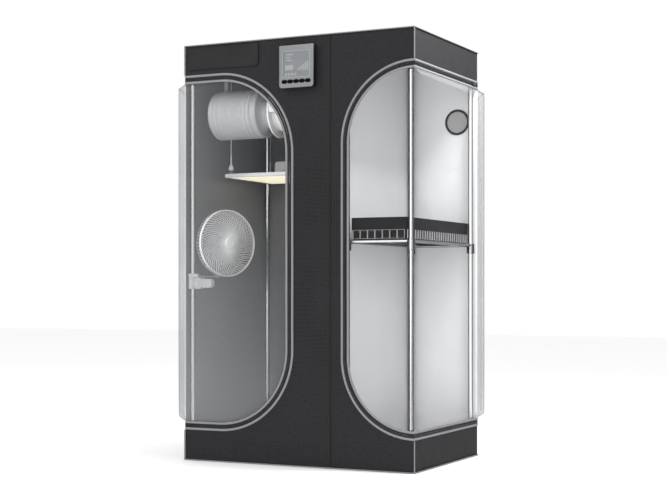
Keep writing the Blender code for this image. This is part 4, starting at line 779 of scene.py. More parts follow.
def thick_sheet(name, bm, looks, node, body="tent", inward=-1.0, thickness=None, sharp=50):
    """A cloth sheet with its lining on the inner side, as one closed shell."""
    depth = thickness or bpy.context.scene.tent_sizes.cloth
    bmesh.ops.remove_doubles(bm, verts=bm.verts, dist=0.00005)
    obj = piece(name, bm, looks, None, node, sharp, keep_normals=True)
    solid = obj.modifiers.new("cloth", "SOLIDIFY")
    solid.thickness = depth
    solid.offset = inward
    solid.material_offset = 1
    solid.material_offset_rim = 0
    made = settled(obj)
    obj.modifiers.clear()
    obj.data = made
    if body:
        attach(obj, body)
    return obj


def face_outward(bm, towards):
    """Turns each face of an open, nearly flat sheet to look the given way."""
    bm.normal_update()
    wrong = [f for f in bm.faces if f.normal.dot(Vector(towards)) < 0]
    bmesh.ops.reverse_faces(bm, faces=wrong)


def flat_area(bm):
    """Area of all faces."""
    return sum(f.calc_area() for f in bm.faces)


def slack(p, amount, seed):
    """Soft push out and in of a wall between its poles."""
    return amount * (noise.noise(Vector((p[0] * 3.1 + seed, p[1] * 3.1, p[2] * 2.3)))
            + 0.45 * noise.noise(Vector((p[0] * 8.0, p[1] * 8.0 + seed, p[2] * 6.0))))


def wall(low, high, axis, nu, nv, amount, seed, holes=(), edge=0.03):
    """A grid wall square to axis, slack between its edges, with round holes (u, v, radius)."""
    u_axis, v_axis = [k for k in range(3) if k != axis]
    bm = bmesh.new()
    rows = []
    for v in steps(nv, low[v_axis], high[v_axis]):
        row = []
        for u in steps(nu, low[u_axis], high[u_axis]):
            p = Vector((0, 0, 0))
            p[u_axis], p[v_axis], p[axis] = u, v, low[axis]
            near = min(u - low[u_axis], high[u_axis] - u, v - low[v_axis], high[v_axis] - v)
            p[axis] += slack(p, amount, seed) * fade(near, 0.0, edge)
            row.append(p)
        rows.append(row)
    grid(bm, rows)
    for hu, hv, radius in holes:
        punch(bm, u_axis, v_axis, hu, hv, radius)
    return bm


def punch(bm, u_axis, v_axis, hu, hv, radius):
    """Cuts a round hole: faces inside go, and the points beside them move on to the circle."""
    middles = [(f, f.calc_center_median()) for f in bm.faces]
    gone = [f for f, at in middles if math.hypot(at[u_axis] - hu, at[v_axis] - hv) < radius]
    rim = {v for f in gone for v in f.verts}
    bmesh.ops.delete(bm, geom=gone, context="FACES")
    for v in [v for v in rim if v.is_valid]:
        away = math.hypot(v.co[u_axis] - hu, v.co[v_axis] - hv)
        if away > 1e-6:
            v.co[u_axis] = hu + (v.co[u_axis] - hu) * radius / away
            v.co[v_axis] = hv + (v.co[v_axis] - hv) * radius / away


def door_gap(side, x, z, inset):
    """Distance from a point of the front to the door line, below zero inside the door."""
    edge, bend = WINDOWS[side]
    beside = edge * side + bend - side * x
    above = abs(z - (WINDOW_TOP + WINDOW_LOW) / 2) - ((WINDOW_TOP - WINDOW_LOW) / 2 - bend)
    away = math.hypot(beside, above) if beside > 0 and above > 0 else max(beside, above)
    return away - bend + inset


def front_sheet():
    """Header, footer and the column between the doors, as one grid with both doors cut from it."""
    inset = BAND / 2
    bm = bmesh.new()
    rows = [[Vector((x, -HALF_D, z)) for x in steps(123, -HALF_W, HALF_W)]
            for z in steps(205, COVER_LOW, COVER_TOP)]
    grid(bm, rows)
    for side in (-1, 1):
        middles = [(f, f.calc_center_median()) for f in bm.faces]
        gone = [f for f, at in middles if door_gap(side, at.x, at.z, inset) < 0]
        rim = {v for f in gone for v in f.verts}
        bmesh.ops.delete(bm, geom=gone, context="FACES")
        for v in [v for v in rim if v.is_valid]:
            gap = door_gap(side, v.co.x, v.co.z, inset)
            dx = door_gap(side, v.co.x + SEAT, v.co.z, inset) - gap
            dz = door_gap(side, v.co.x, v.co.z + SEAT, inset) - gap
            steep = max(dx * dx + dz * dz, SEAT * SEAT / 10)
            if abs(v.co.x) < HALF_W - SEAT:
                v.co.x -= gap * dx * SEAT / steep
            v.co.z -= gap * dz * SEAT / steep
    for v in bm.verts:
        v.co.y -= ripple(v.co.x, v.co.z)
    return bm


class TENT_OT_cover(bpy.types.Operator):
    """Cloth panels of the cover with their foil linings"""
    bl_idname = "tent.cover"
    bl_label = "Cover"

    def execute(self, context):
        low, top, y = COVER_LOW, COVER_TOP, INNER_Y
        plain = "cloth dull_lining"
        self.lay("front_cloth", front_sheet(), -DEEP, plain, "front_panel", (2 * HALF_W, HEIGHT))
        side = wall((-HALF_W, -y, low), (-HALF_W, y, top), 0, 40, 90, 0.0009, 2.0)
        self.lay("left_cloth", side, -RIGHT, plain, "left_side_panel", (0.607, 1.521))
        back = wall((-HALF_W, HALF_D, low), (HALF_W, HALF_D, top), 1, 116, 192, 0.0012, 5.0, (VENT, PORT))
        self.lay("back_cloth", back, DEEP, plain, "back_panel", (0.914, 1.521))
        for part, z0, z1 in (("header", WINDOW_TOP - BAND / 2, top), ("footer", low, WINDOW_LOW + BAND / 2)):
            strip = wall((HALF_W, -y, z0), (HALF_W, y, z1), 0, 40, 12, 0.0004, 7.0)
            self.lay(f"right_{part}_cloth", strip, RIGHT, "cloth bright_lining", f"right_{part}_band",
                    (2 * y, z1 - z0))
        bars = [(bar, RAIL_TOP, BAR_RADIUS + 0.0015) for bar in BARS]
        middle = wall((DIVIDER_WALL, -y, low), (DIVIDER_WALL, y, top), 0, 62, 150, 0.0012, 9.0, bars)
        # the divider's right face: painted shade, a greyer copy of the bright foil; its left face has the
        # dark grey lining
        self.lay("divider_cloth", middle, RIGHT, "shaded_lining dull_lining", "divider_wall",
                (2 * y, top - low))
        return {"FINISHED"}

    def lay(self, name, bm, towards, looks, node, flat):
        """Makes a wall a sheet. The back's lining is dull in the left chamber and bright in the right."""
        area = min(flat_area(bm), flat[0] * flat[1])
        face_outward(bm, towards)
        obj = thick_sheet(name, bm, looks, node)
        if node == "back_panel":
            obj.data.materials.append(look("bright_lining"))
            for face in obj.data.polygons:
                if face.material_index == 1 and face.center.x > DIVIDER_WALL:
                    face.material_index = 2


class TENT_OT_roof_and_floor(bpy.types.Operator):
    """Roof and floor sheets with the bead sewn round their edges"""
    bl_idname = "tent.roof_and_floor"
    bl_label = "Roof and floor"

    def execute(self, context):
        r = 0.00225
        x, y = HALF_W + SEAT, HALF_D + SEAT
        for part, z, lining in (("roof", HEIGHT, "bright_lining"), ("floor", 0.0, "dull_lining")):
            inward = -1 if z else 1
            rows = [[Vector((u, v, z + inward * SEAT)) for u in steps(70, -x, x)] for v in steps(50, -y, y)]
            if z:
                for p in (p for row in rows for p in row):
                    p.z += min(slack((p.x, p.y, HEIGHT), 0.0004, 3.0), 0.0)
            bm = bmesh.new()
            grid(bm, rows)
            face_outward(bm, UP * -inward)
            obj = thick_sheet(f"{part}_cloth", bm, f"cloth {lining}", f"{part}_panel")
            bead, ring = bmesh.new(), []
            for n, middle in enumerate(((x, y), (-x, y), (-x, -y), (x, -y))):
                ring += [Vector((u, v, z + inward * r)) for u, v in arc(4, 90 * n, 90 * n + 90, middle, r)]
            pipe(bead, ring + ring[:1], r, 10)
            last = (WINDOW_TOP if z else WINDOW_LOW) - inward * 0.001
            for side in (-1, 1):
                corner = [(side * (x + r * 0.7), -y - r * 0.7, h) for h in steps(6, z + inward * 0.003, last)]
                pipe(bead, corner, r, 10, RIGHT)
            piece(f"{part}_bead", bead, "piping", "tent", "", 60)
        return {"FINISHED"}


class TENT_OT_front_seam(bpy.types.Operator):
    """Felled seam down the front cover, with its two rows of stitches"""
    bl_idname = "tent.front_seam"
    bl_label = "Front seam"

    def execute(self, context):
        bm = bmesh.new()
        heights = steps(120, COVER_LOW, COVER_TOP)
        across = ((-0.006, 0.0001), (-0.0048, 0.001), (-0.0006, 0.0011), (0.0, 0.0002), (0.0007, 0.0001))
        rows = []
        for z in heights:
            rows.append([Vector((SEAM_X + u, -HALF_D - ripple(SEAM_X + u, z) - d, z)) for u, d in across])
        grid(bm, rows)
        piece("front_seam", bm, "seam", "tent", "", 30)
        rails = []
        for u in (-0.0044, -0.0016):
            rails.append([Vector((SEAM_X + u, -HALF_D - ripple(SEAM_X + u, z) - 0.0011, z)) for z in heights])
        stitched("front_seam_stitches", rails, SEAM_STITCH, "seam")
        return {"FINISHED"}


# Doors

def door_rows(side):
    """Rows of the clear door from its curved front edge, round the corner, to the back edge."""
    inset = BAND + 0.0008
    path = door_path(side, inset)
    half = len(path) // 2 + 1
    rows, count = [], 40
    for (s, high), (_, low) in reversed(list(zip(path[:half], path[::-1][:half]))):
        if s < HALF_W - SEAT and high - low >= 0.002:
            x = side * s
            rows.append([Vector((x, -HALF_D - FILM_GAP - film_wave(x, z, low, high), z))
                    for z in steps(count, low, high)])
    return rows, WINDOW_LOW + inset, WINDOW_TOP - inset, count


def film_wave(x, z, low, high):
    """Outward ripples of the hanging vinyl."""
    ease = fade(min(z - low, high - z), 0.0, 0.08)
    return ease * 0.0016 * (1 + noise.noise(Vector((x * 4, 1.7, z * 3)))
            + 0.4 * noise.noise(Vector((x * 11, 5.2, z * 7))))


def side_x(side, s, z, low, top, share=1.0):
    """Where a door's side part stands, proud of the frame, with shoulders at its ends and corners."""
    along = s - HALF_W
    shoulder = 1.0
    for ease in (min(z - low, top - z) / END_SLANT, (2 * HALF_D - along) / DOOR_SLANT):
        shoulder *= math.sqrt(max(0.0, 1 - (1 - max(min(1.0, ease), 0.0)) ** 2))
    ripples = 0.0012 * noise.noise(Vector((along * 5, side * 2.0, z * 4)))
    return side * (HALF_W + (FILM_GAP + (DOOR_BULGE - 0.003 + ripples) * shoulder) * share)


class TENT_OT_doors(bpy.types.Operator):
    """Clear vinyl doors, shaped over the front corners"""
    bl_idname = "tent.doors"
    bl_label = "Clear doors"

    def execute(self, context):
        for label, side in (("left", -1), ("right", 1)):
            rows, low, top, count = door_rows(side)
            heights = steps(count, low, top)
            for a in steps(5, 0.05 * math.pi, 0.5 * math.pi):
                y, share = -HALF_D - 0.0002 - 0.0012 * math.cos(a), 1 - math.cos(a)
                rows.append([Vector((side_x(side, HALF_W, z, low, top, share), y, z)) for z in heights])
            for s in steps(26, HALF_W, HALF_W + 2 * HALF_D)[1:]:
                y = s - HALF_W - HALF_D
                rows.append([Vector((side_x(side, s, z, low, top), y, z)) for z in heights])
            bm = bmesh.new()
            grid(bm, rows)
            area = flat_area(bm)
            face_outward(bm, (side, -0.5, 0))
            obj = thick_sheet(f"{label}_door_vinyl", bm, "film film", f"{label}_door_film",
                    f"{label}_door", 1.0, FILM, 60)
            self.hem(f"{label}_door_back_hem", label, side, low, top, HALF_D - 0.0006)
            if side < 0:
                self.hem(f"{label}_door_front_hem", label, side, low, top, -HALF_D - 0.0016)
        return {"FINISHED"}

    def hem(self, name, label, side, low, top, y):
        """Welded edge beside a corner of the door's proud part, with its cut edge and slanted ends."""
        near, far = 0.0012, DOOR_BULGE - 0.0028
        bm = bmesh.new()
        rows = []
        for z in steps(80, low + 0.001, top - 0.001):
            reach = near + (far - near) * min(1.0, min(z - low, top - z) / END_SLANT)
            rows.append([Vector((side * (HALF_W + reach * t), y, z)) for t in (0.02, 0.35, 0.7, 1.0)])
        grid(bm, rows)
        piece(name, bm, "front_hem" if y < 0 else "hem", f"{label}_door", "", 60)
        edge = bmesh.new()
        pipe(edge, [row[-1] for row in rows], 0.0009, 6, DEEP)
        for end in (rows[0], rows[-1]):
            pipe(edge, end, 0.0006, 6, UP)
        # the fold's crease: a dark line of painted shade
        fold = [Vector((side * (HALF_W + far * (1 - t)), y - 0.0002, top - 0.012 - 0.026 * t))
                for t in steps(6)]
        pipe(edge, fold, 0.0009, 6, DEEP)
        piece(name + "_edge", edge, "hem_line", f"{label}_door", "", 60)


# Front fittings

def framed(bm, outer, inner, to_world, near, far):
    """A flat frame between two outlines of equal count, pushed from near to far."""
    section = ((outer, near), (outer, far), (inner, far), (inner, near), (outer, near))
    grid(bm, [[Vector(to_world(u, v, d)) for u, v in line] for line, d in section], True)
    bmesh.ops.remove_doubles(bm, verts=bm.verts, dist=0.00001)


def moved(outline, du, dv):
    """An outline shifted in its plane."""
    return [(u + du, v + dv) for u, v in outline]


on_controller = upright(CONTROLLER[0], CONTROLLER_FACE, CONTROLLER[1])


class TENT_OT_controller(bpy.types.Operator):
    """Bezel, screen segments and button wells of the controller, and the stitches of the header plate"""
    bl_idname = "tent.controller"
    bl_label = "Controller details"

    def execute(self, context):
        bm = bmesh.new()
        outer, inner = rounded(0.108, 0.094, 0.005), rounded(0.1036, 0.0896, 0.0036)
        framed(bm, moved(outer, 0, SCREEN_V), moved(inner, 0, SCREEN_V), on_controller, -0.0002, 0.0005)
        piece("controller_bezel", bm, "bezel", "tent", "", 30)
        marks = bmesh.new()
        glass = CONTROLLER_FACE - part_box("controller_screen")[0][1]
        segments = [(wide, 0.0045, 0.0012, wide / 2 - 0.042, 0.034 - n * 0.01)
                for n, wide in enumerate((0.03, 0.018, 0.024))]
        for n in range(6):
            tall = 0.01 + 0.0045 * n
            segments.append((0.005, tall, 0.001, 0.008 + n * 0.0075, tall / 2 - 0.024))
        segments += [(0.009, 0.009, 0.0028, n * 0.0125 - 0.041, -0.036) for n in range(4)]
        segments.append((0.032, 0.018, 0.002, -0.028, -0.012))
        for wide, tall, corner, du, dv in segments:
            slab(marks, moved(rounded(wide, tall, corner, 3), du, SCREEN_V + dv), on_controller,
                    glass - 0.0003, glass + 0.0002)
        piece("controller_segments", marks, "mark", "tent", "", 30)
        wells = bmesh.new()
        for n in range(1, 6):
            low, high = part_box(f"controller_button_{n}")
            wide, tall = high[0] - low[0], high[2] - low[2]
            middle = ((low[0] + high[0]) / 2 - CONTROLLER[0], (low[2] + high[2]) / 2 - CONTROLLER[1])
            outline = rounded(wide + 0.0044, tall + 0.0036, tall / 2 + 0.0016, 6)
            hole = rounded(wide + 0.0006, tall + 0.0006, tall / 2, 6)
            framed(wells, moved(outline, *middle), moved(hole, *middle), on_controller, -0.0002, 0.0004)
        piece("controller_wells", wells, "ink", "tent", "", 30)
        x, z, wide, tall = PLATE
        line = rounded(wide - 2 * PLATE_SEAM, tall - 2 * PLATE_SEAM, 0.004, 4)
        rail = [Vector((x + u, PLATE_FACE, z + v)) for u, v in line + line[:1]]
        stitched("plate_stitches", [rail], SEAM_STITCH, "tape")
        return {"FINISHED"}


# Back fittings

class TENT_OT_back_vent(bpy.types.Operator):
    """Round mesh vent with its sewn rim"""
    bl_idname = "tent.back_vent"
    bl_label = "Back vent"

    def execute(self, context):
        x, z, radius = VENT
        face = HALF_D - 0.0015
        rim = bmesh.new()
        edge, hole = radius + 0.003, radius - 0.006
        half = (edge - hole) / 2
        profile = [(0.0004, hole)] + arc(9, -90, 90, (0.0004, hole + half), 0.0026, half)
        hoop(rim, (x, face, z), -DEEP, profile + [(0.0004, edge)], 64)
        rails = [[Vector((u, face - 0.003, v)) for u, v in arc(97, 0, 360, (x, z), radius - 0.0018)]]
        piece("back_vent_rim", rim, "tape", "tent", "back_vent", 40)
        stitched("back_vent_stitches", rails, TAPE_STITCH, "stitch")
        net = bmesh.new()
        reach = radius - 0.0012
        pitch = 0.0017
        count = int(2 * reach / pitch)
        for n in range(count):
            at = (n - (count - 1) / 2) * pitch
            run = math.sqrt(reach * reach - at * at)
            for flip, depth in ((False, 0.00035), (True, -0.00025)):
                line = []
                for t in steps(9, -run, run):
                    u, v = (t, at) if flip else (at, t)
                    line.append(Vector((x + u, face + 0.0006 + depth, z + v)))
                pipe(net, line, 0.00052, 4, DEEP)
        piece("back_vent_net", net, "mesh", "tent", "", 40)
        return {"FINISHED"}


class TENT_OT_sleeve(bpy.types.Operator):
    """Duct sleeve in the back wall, gathered shut by an elastic band"""
    bl_idname = "tent.sleeve"
    bl_label = "Duct sleeve"

    def execute(self, context):
        x, z, radius = PORT
        face = HALF_D - 0.0018
        rows = []
        lines = ((0.0002, radius + 0.005, 0.0), (0.0016, radius + 0.001, 0.0),
                (0.006, radius - 0.006, 0.03), (0.012, radius * 0.72, 0.07), (0.018, radius * 0.52, 0.11),
                (0.0235, 0.0268, 0.13), (0.0266, 0.0212, 0.1), (0.03, 0.0218, 0.11), (0.034, 0.0236, 0.13),
                (0.0395, 0.0252, 0.14))
        count = 216
        for along, reach, fold in lines:
            row = []
            for k in range(count):
                a = math.tau * k / count
                wave = math.cos(18 * a + 0.6 * math.sin(3 * a)) + 0.35 * math.cos(31 * a + 1.0)
                r = reach * (1 + fold * wave * 0.75)
                row.append(Vector((x + r * math.cos(a), face - along - 0.0006 * wave * fold,
                        z + r * math.sin(a))))
            rows.append(row)
        bm = bmesh.new()
        grid(bm, rows, True)
        area = flat_area(bm)
        bmesh.ops.recalc_face_normals(bm, faces=bm.faces)
        obj = thick_sheet("duct_sleeve_cloth", bm, "cloth cloth", "duct_sleeve",
                thickness=0.0008)
        band = bmesh.new()
        ring = [Vector((u, face - 0.0266, v)) for u, v in arc(61, 0, 360, (x, z), 0.0238)]
        pipe(band, ring, 0.0014, 8, DEEP)
        piece("duct_sleeve_band", band, "tape", "tent", "", 40)
        return {"FINISHED"}


# Filter, inline fan and straps

def duct_at(x):
    """A point on the axis that the filter and the inline fan share."""
    return Vector((x, DUCT_Y, DUCT_Z))


class TENT_OT_filter(bpy.types.Operator):
    """Filter canister: rounded end cap, pleated sleeve and the collar that meets the fan"""
    bl_idname = "tent.filter"
    bl_label = "Filter"

    def execute(self, context):
        left, right, radius = FILTER
        length = right - left
        cap, core, dome = 0.024, radius - 0.0026, 0.016
        bm = bmesh.new()
        profile = arc(12, 180, 90, (dome, radius - dome), dome)
        profile += [(cap - 0.001, radius), (cap, radius - 0.0008), (cap, core - 0.002)]
        spun(bm, duct_at(left), RIGHT, profile, 96)
        for a in steps(3, 0.3, 0.8):
            low, high = radius * a - 0.002, radius * a + 0.002
            ring = [(-0.0006, low), (-0.0014, radius * a), (-0.0006, high), (0.0006, high), (0.0006, low)]
            hoop(bm, duct_at(left + 0.0015), RIGHT, ring, 96)
        collar = [(length - cap, core - 0.002), (length - cap, radius - 0.0008),
                (length - cap + 0.001, radius)]
        collar += arc(8, 90, 0, (length - 0.006, radius - 0.006), 0.006)
        collar += [(length + 0.001, 0.068), (length + 0.004, 0.062), (length + 0.008, 0.0562),
                (length + 0.012, 0.0548), (length + 0.0635, 0.0546)]
        spun(bm, duct_at(left), RIGHT, collar, 96)
        piece("filter_caps", bm, "canister", "tent", "carbon_filter")
        sleeve = bmesh.new()
        waves = []
        pitch = 0.0072
        span = length - 2 * cap
        count = int(span / pitch)
        for n in range(count * 6 + 1):
            t = n / (count * 6)
            hold = 1.0
            for x in STRAPS:
                hold *= fade(abs(left + cap + span * t - x), 0.0078, 0.0105)
            pleat = fade(min(t, 1 - t), 0.18, 0.24) * (0.5 - 0.5 * math.cos(math.tau * t * count))
            waves.append((cap + span * t, core + 0.0002 + (0.0022 - 0.002 * pleat) * hold))
        spun(sleeve, duct_at(left), RIGHT, waves, 96)
        piece("filter_sleeve", sleeve, "fleece", "tent", "", 60)
        return {"FINISHED"}


def fan_blades(bm, centre, axis, root, tip, depth, count, thick, lean=14.0, twist=42.0):
    """Cambered blades, lofted from the hub to the tip, each a closed body."""
    axis, u, v = square_to(axis)
    for n in range(count):
        rows = []
        for share in steps(7):
            r = root + (tip - root) * share
            spin = math.tau * n / count + math.radians(lean * share)
            radial = u * math.cos(spin) + v * math.sin(spin)
            side = axis.cross(radial)
            tilt = math.radians(90 - twist * (1 - 0.45 * share))
            chord = axis * math.sin(tilt) + side * math.cos(tilt)
            normal = radial.cross(chord).normalized()
            at = Vector(centre) + radial * r
            half = depth / 2 * (0.85 + 0.35 * share)
            upper, lower = [], []
            for t in steps(9, -1.0, 1.0):
                camber = 0.1 * depth * (1 - t * t)
                body = thick / 2 * math.sqrt(max(0.04, 1 - t * t))
                upper.append(at + chord * (half * t) + normal * (camber + body))
                lower.append(at + chord * (half * t) + normal * (camber - body))
            rows.append(upper + lower[::-1])
        loft(bm, rows)


class TENT_OT_inline_fan(bpy.types.Operator):
    """Inline fan: barrel, flange, wheel, and its control box with raised lines"""
    bl_idname = "tent.inline_fan"
    bl_label = "Inline fan"

    def execute(self, context):
        body, radius, neck, flange = 0.17, 0.08, 0.055, 0.093
        flare, shoulder, taper, outlet = 0.012, 0.0425, 0.1275, 0.1564
        collar, bore = neck + 0.003, radius - 0.003
        inlet = duct_at(FAN_START)
        bm = bmesh.new()
        profile = [(0.0, neck), (0.0, flange - 0.001), (0.001, flange), (0.0058, flange),
                (0.0068, flange - 0.001), (0.0075, neck + 0.013), (0.01, neck + 0.0122)]
        profile += eased(10, flare, shoulder, 0.068, radius) + eased(10, taper, outlet, radius, collar)
        profile += [(body - 0.001, collar), (body, neck + 0.002), (body, neck), (outlet, neck)]
        profile += eased(6, 0.154, taper, neck, bore) + eased(6, shoulder, flare, bore, neck)
        hoop(bm, inlet, RIGHT, profile, 96)
        for at in (0.046, 0.085, 0.124):
            ring = [(at - 0.0012, radius - 0.001), (at - 0.0008, radius + 0.0006),
                    (at + 0.0008, radius + 0.0006), (at + 0.0012, radius - 0.001)]
            hoop(bm, inlet, RIGHT, ring, 96)
        motor = 0.034
        spun(bm, inlet, RIGHT, [(0.0877, motor - 0.002), (0.0897, motor), (0.134, motor),
                (0.136, motor - 0.002)], 64)
        for n in range(3):
            a = math.tau * (n + 0.25) / 3
            arm = Vector((0, math.cos(a), math.sin(a)))
            place = inlet + RIGHT * 0.1139 + arm * ((radius + motor) / 2 - 0.001)
            on = plane(place, RIGHT, arm, Vector((0, -math.sin(a), math.cos(a))))
            slab(bm, rounded(0.0238, radius - motor + 0.003, 0.001, 2), on, -0.0015, 0.0015)
        piece("inline_fan_barrel", bm, "white", "tent", "duct_fan_housing")
        wheel = bmesh.new()
        middle = duct_at(FAN_START + body * 0.4)
        hub = body * 0.11
        nose = [(-hub * 1.5, 0.004), (-hub * 1.46, 0.01), (-hub * 1.25, 0.02), (-hub, 0.0275),
                (-hub * 0.6, 0.0318), (-hub / 3, 0.0338), (hub * 0.8, 0.0338), (hub, 0.0325)]
        spun(wheel, middle, RIGHT, nose, 64)
        fan_blades(wheel, middle, RIGHT, 0.0308, 0.0738, hub * 1.7, 7, 0.0016)
        piece("inline_fan_wheel", wheel, "black", "duct_fan_wheel", "duct_fan_impeller", 40)
        self.box()
        return {"FINISHED"}

    def box(self):
        """Raised lines and the knob of the control box."""
        low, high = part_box("duct_fan_control_box")
        face = low[1]
        cx, cz = (low[0] + high[0]) / 2, (low[2] + high[2]) / 2
        lines = bmesh.new()
        for n in range(5):
            on = upright(cx - (0.006 if n else 0.014), face, cz + 0.022 - n * 0.0085)
            slab(lines, rounded(0.046 if n else 0.03, 0.0016, 0.0006, 3), on, -0.0006, 0.0004)
        knob = upright(cx + 0.028, face, cz - 0.018)
        slab(lines, rounded(0.012, 0.012, 0.0055, 6), knob, -0.0006, 0.0012, 0.0004, 1)
        piece("control_box_lines", lines, "mesh black", "tent", "", 30)


def strap_path(x, high):
    """Round the filter from the bar, and back up: (y, z) of the web's middle."""
    hold = FILTER[2] - 0.0025 + 0.0011
    line = [Vector((x, DUCT_Y - 0.0012, high)), Vector((x, DUCT_Y - 0.0012, DUCT_Z + hold + 0.012))]
    line += [Vector((x, y, z)) for y, z in arc(72, 84, 84 - 348, (DUCT_Y, DUCT_Z), hold)]
    line += [Vector((x, DUCT_Y + 0.0012, DUCT_Z + hold + 0.012)), Vector((x, DUCT_Y + 0.0012, high))]
    return line


def web(bm, line, wide, thick):
    """A flat strap along a path in the plane square to X."""
    rows = []
    for n, p in enumerate(line):
        ahead = (line[min(n + 1, len(line) - 1)] - line[max(n - 1, 0)]).normalized()
        away = Vector((0, -ahead.z, ahead.y))
        row = []
        for u, d in ((-0.5, -0.5), (-0.42, -0.5), (0.0, -0.5), (0.42, -0.5), (0.5, -0.5), (0.5, 0.5),
                (0.42, 0.5), (0.0, 0.5), (-0.42, 0.5), (-0.5, 0.5)):
            edge = 0.75 if abs(u) == 0.5 else 1.0
            row.append(p + Vector((u * wide, 0, 0)) + away * (d * thick * edge))
        rows.append(row)
    loft(bm, rows)


class TENT_OT_straps(bpy.types.Operator):
    """Webbing straps that hang the filter from the front bar, with their cam buckles"""
    bl_idname = "tent.straps"
    bl_label = "Filter straps"

    def execute(self, context):
        for label, x in zip(("left", "right"), STRAPS):
            bm = bmesh.new()
            wrap = BAR_RADIUS + 0.0011
            line = strap_path(x, RAIL_TOP - wrap - 0.004)
            loop = [Vector((x, y, z)) for y, z in arc(40, -80, 260, (DUCT_Y, RAIL_TOP), wrap)]
            web(bm, line, 0.015, 0.0013)
            web(bm, loop, 0.015, 0.0013)
            at = (DUCT_Z + FILTER[2] - 0.0022 + RAIL_TOP) / 2
            slab(bm, rounded(0.027, 0.019, 0.003), upright(x, DUCT_Y, at), -0.0028, 0.002, 0.0008, 1)
            lever = upright(x, DUCT_Y, at + 0.002)
            slab(bm, rounded(0.021, 0.011, 0.002), lever, 0.0018, 0.0046, 0.001, 1)
            piece(f"filter_strap_{label}_web", bm, "webbing black", "tent",
                    f"filter_strap_{label}", 40)
        return {"FINISHED"}


# Light and its ropes

class TENT_OT_light(bpy.types.Operator):
    """Hanging light: folded frame, lit cover with its lamp rows, finned driver and hook eyes"""
    bl_idname = "tent.light"
    bl_label = "Light"

    def execute(self, context):
        wide, deep = LIGHT_X[1] - LIGHT_X[0], LIGHT_Y[1] - LIGHT_Y[0]
        centre = Vector((sum(LIGHT_X) / 2, sum(LIGHT_Y) / 2, LIGHT_Z))
        lip = 0.012
        outer, inner = rounded(wide, deep, 0.012, 6), rounded(wide - 2 * lip, deep - 2 * lip, 0.006, 6)
        bm = bmesh.new()

        def ring(outline, shrink, z):
            scale_u, scale_v = 1 - 2 * shrink / wide, 1 - 2 * shrink / deep
            return [centre + Vector((u * scale_u, v * scale_v, z)) for u, v in outline]

        top = LIGHT_THICK
        loft(bm, [ring(inner, 0.0, 0.007), ring(inner, 0.0, 0.0006), ring(inner, -0.0006, 0.0),
                ring(outer, 0.0008, 0.0), ring(outer, 0.0, 0.0008), ring(outer, 0.0, top - 0.001),
                ring(outer, 0.001, top)])
        eye = [(0.0, 0.0046), (0.0014, 0.0046), (0.002, 0.0038), (0.002, 0.0018)]
        for x in EYES_X:
            for y in BARS[1:]:
                spun(bm, (x, y, LIGHT_Z + top - 0.001), UP, eye, 20)
        piece("light_tray", bm, "white", "light", "light_frame")
        cover = bmesh.new()
        on = plane(centre, RIGHT, DEEP, UP)
        window = rounded(wide - 2 * lip - 0.0008, deep - 2 * lip - 0.0008, 0.0058, 6)
        slab(cover, window, on, 0.0066, 0.0012, 0.0004)
        piece("light_cover", cover, "glow", "light", "light_board", 30)
        self.driver(centre + Vector((0.025, 0, top + 0.0003)))
        return {"FINISHED"}

    def driver(self, foot):
        """Driver's case with rounded ends, a raised panel, a round socket and fins."""
        length, depth, height = 0.2, 0.085, 0.052
        bm = bmesh.new()
        shape = rounded(length, height, 0.01, 8)
        half = depth / 2
        for near, far in ((0.0012 - half, half), (half - 0.0024, -half)):
            slab(bm, shape, upright(foot.x, foot.y, foot.z + height / 2, DEEP), near, far, 0.0012)
        panel = upright(foot.x + 0.034, foot.y, foot.z + height / 2)
        slab(bm, rounded(0.06, 0.028, 0.004), panel, half - 0.001, half + 0.0008, 0.0005)
        socket = [(0.0, 0.0105), (0.0065, 0.0105), (0.008, 0.0095), (0.008, 0.008)]
        spun(bm, foot + Vector((-0.062, 0.002 - half, height / 2)), -DEEP, socket, 32)
        piece("light_driver_case", bm, "white", "light", "light_driver")
        rail = [foot + Vector((-0.078, 0, height - 0.0006)), foot + Vector((0.078, 0, height - 0.0006))]
        fin = (depth - 0.012, 0.0022, 0.002)
        along_rails("light_driver_fins", [rail], block_shape, 0.0075, fin, "white", "light")


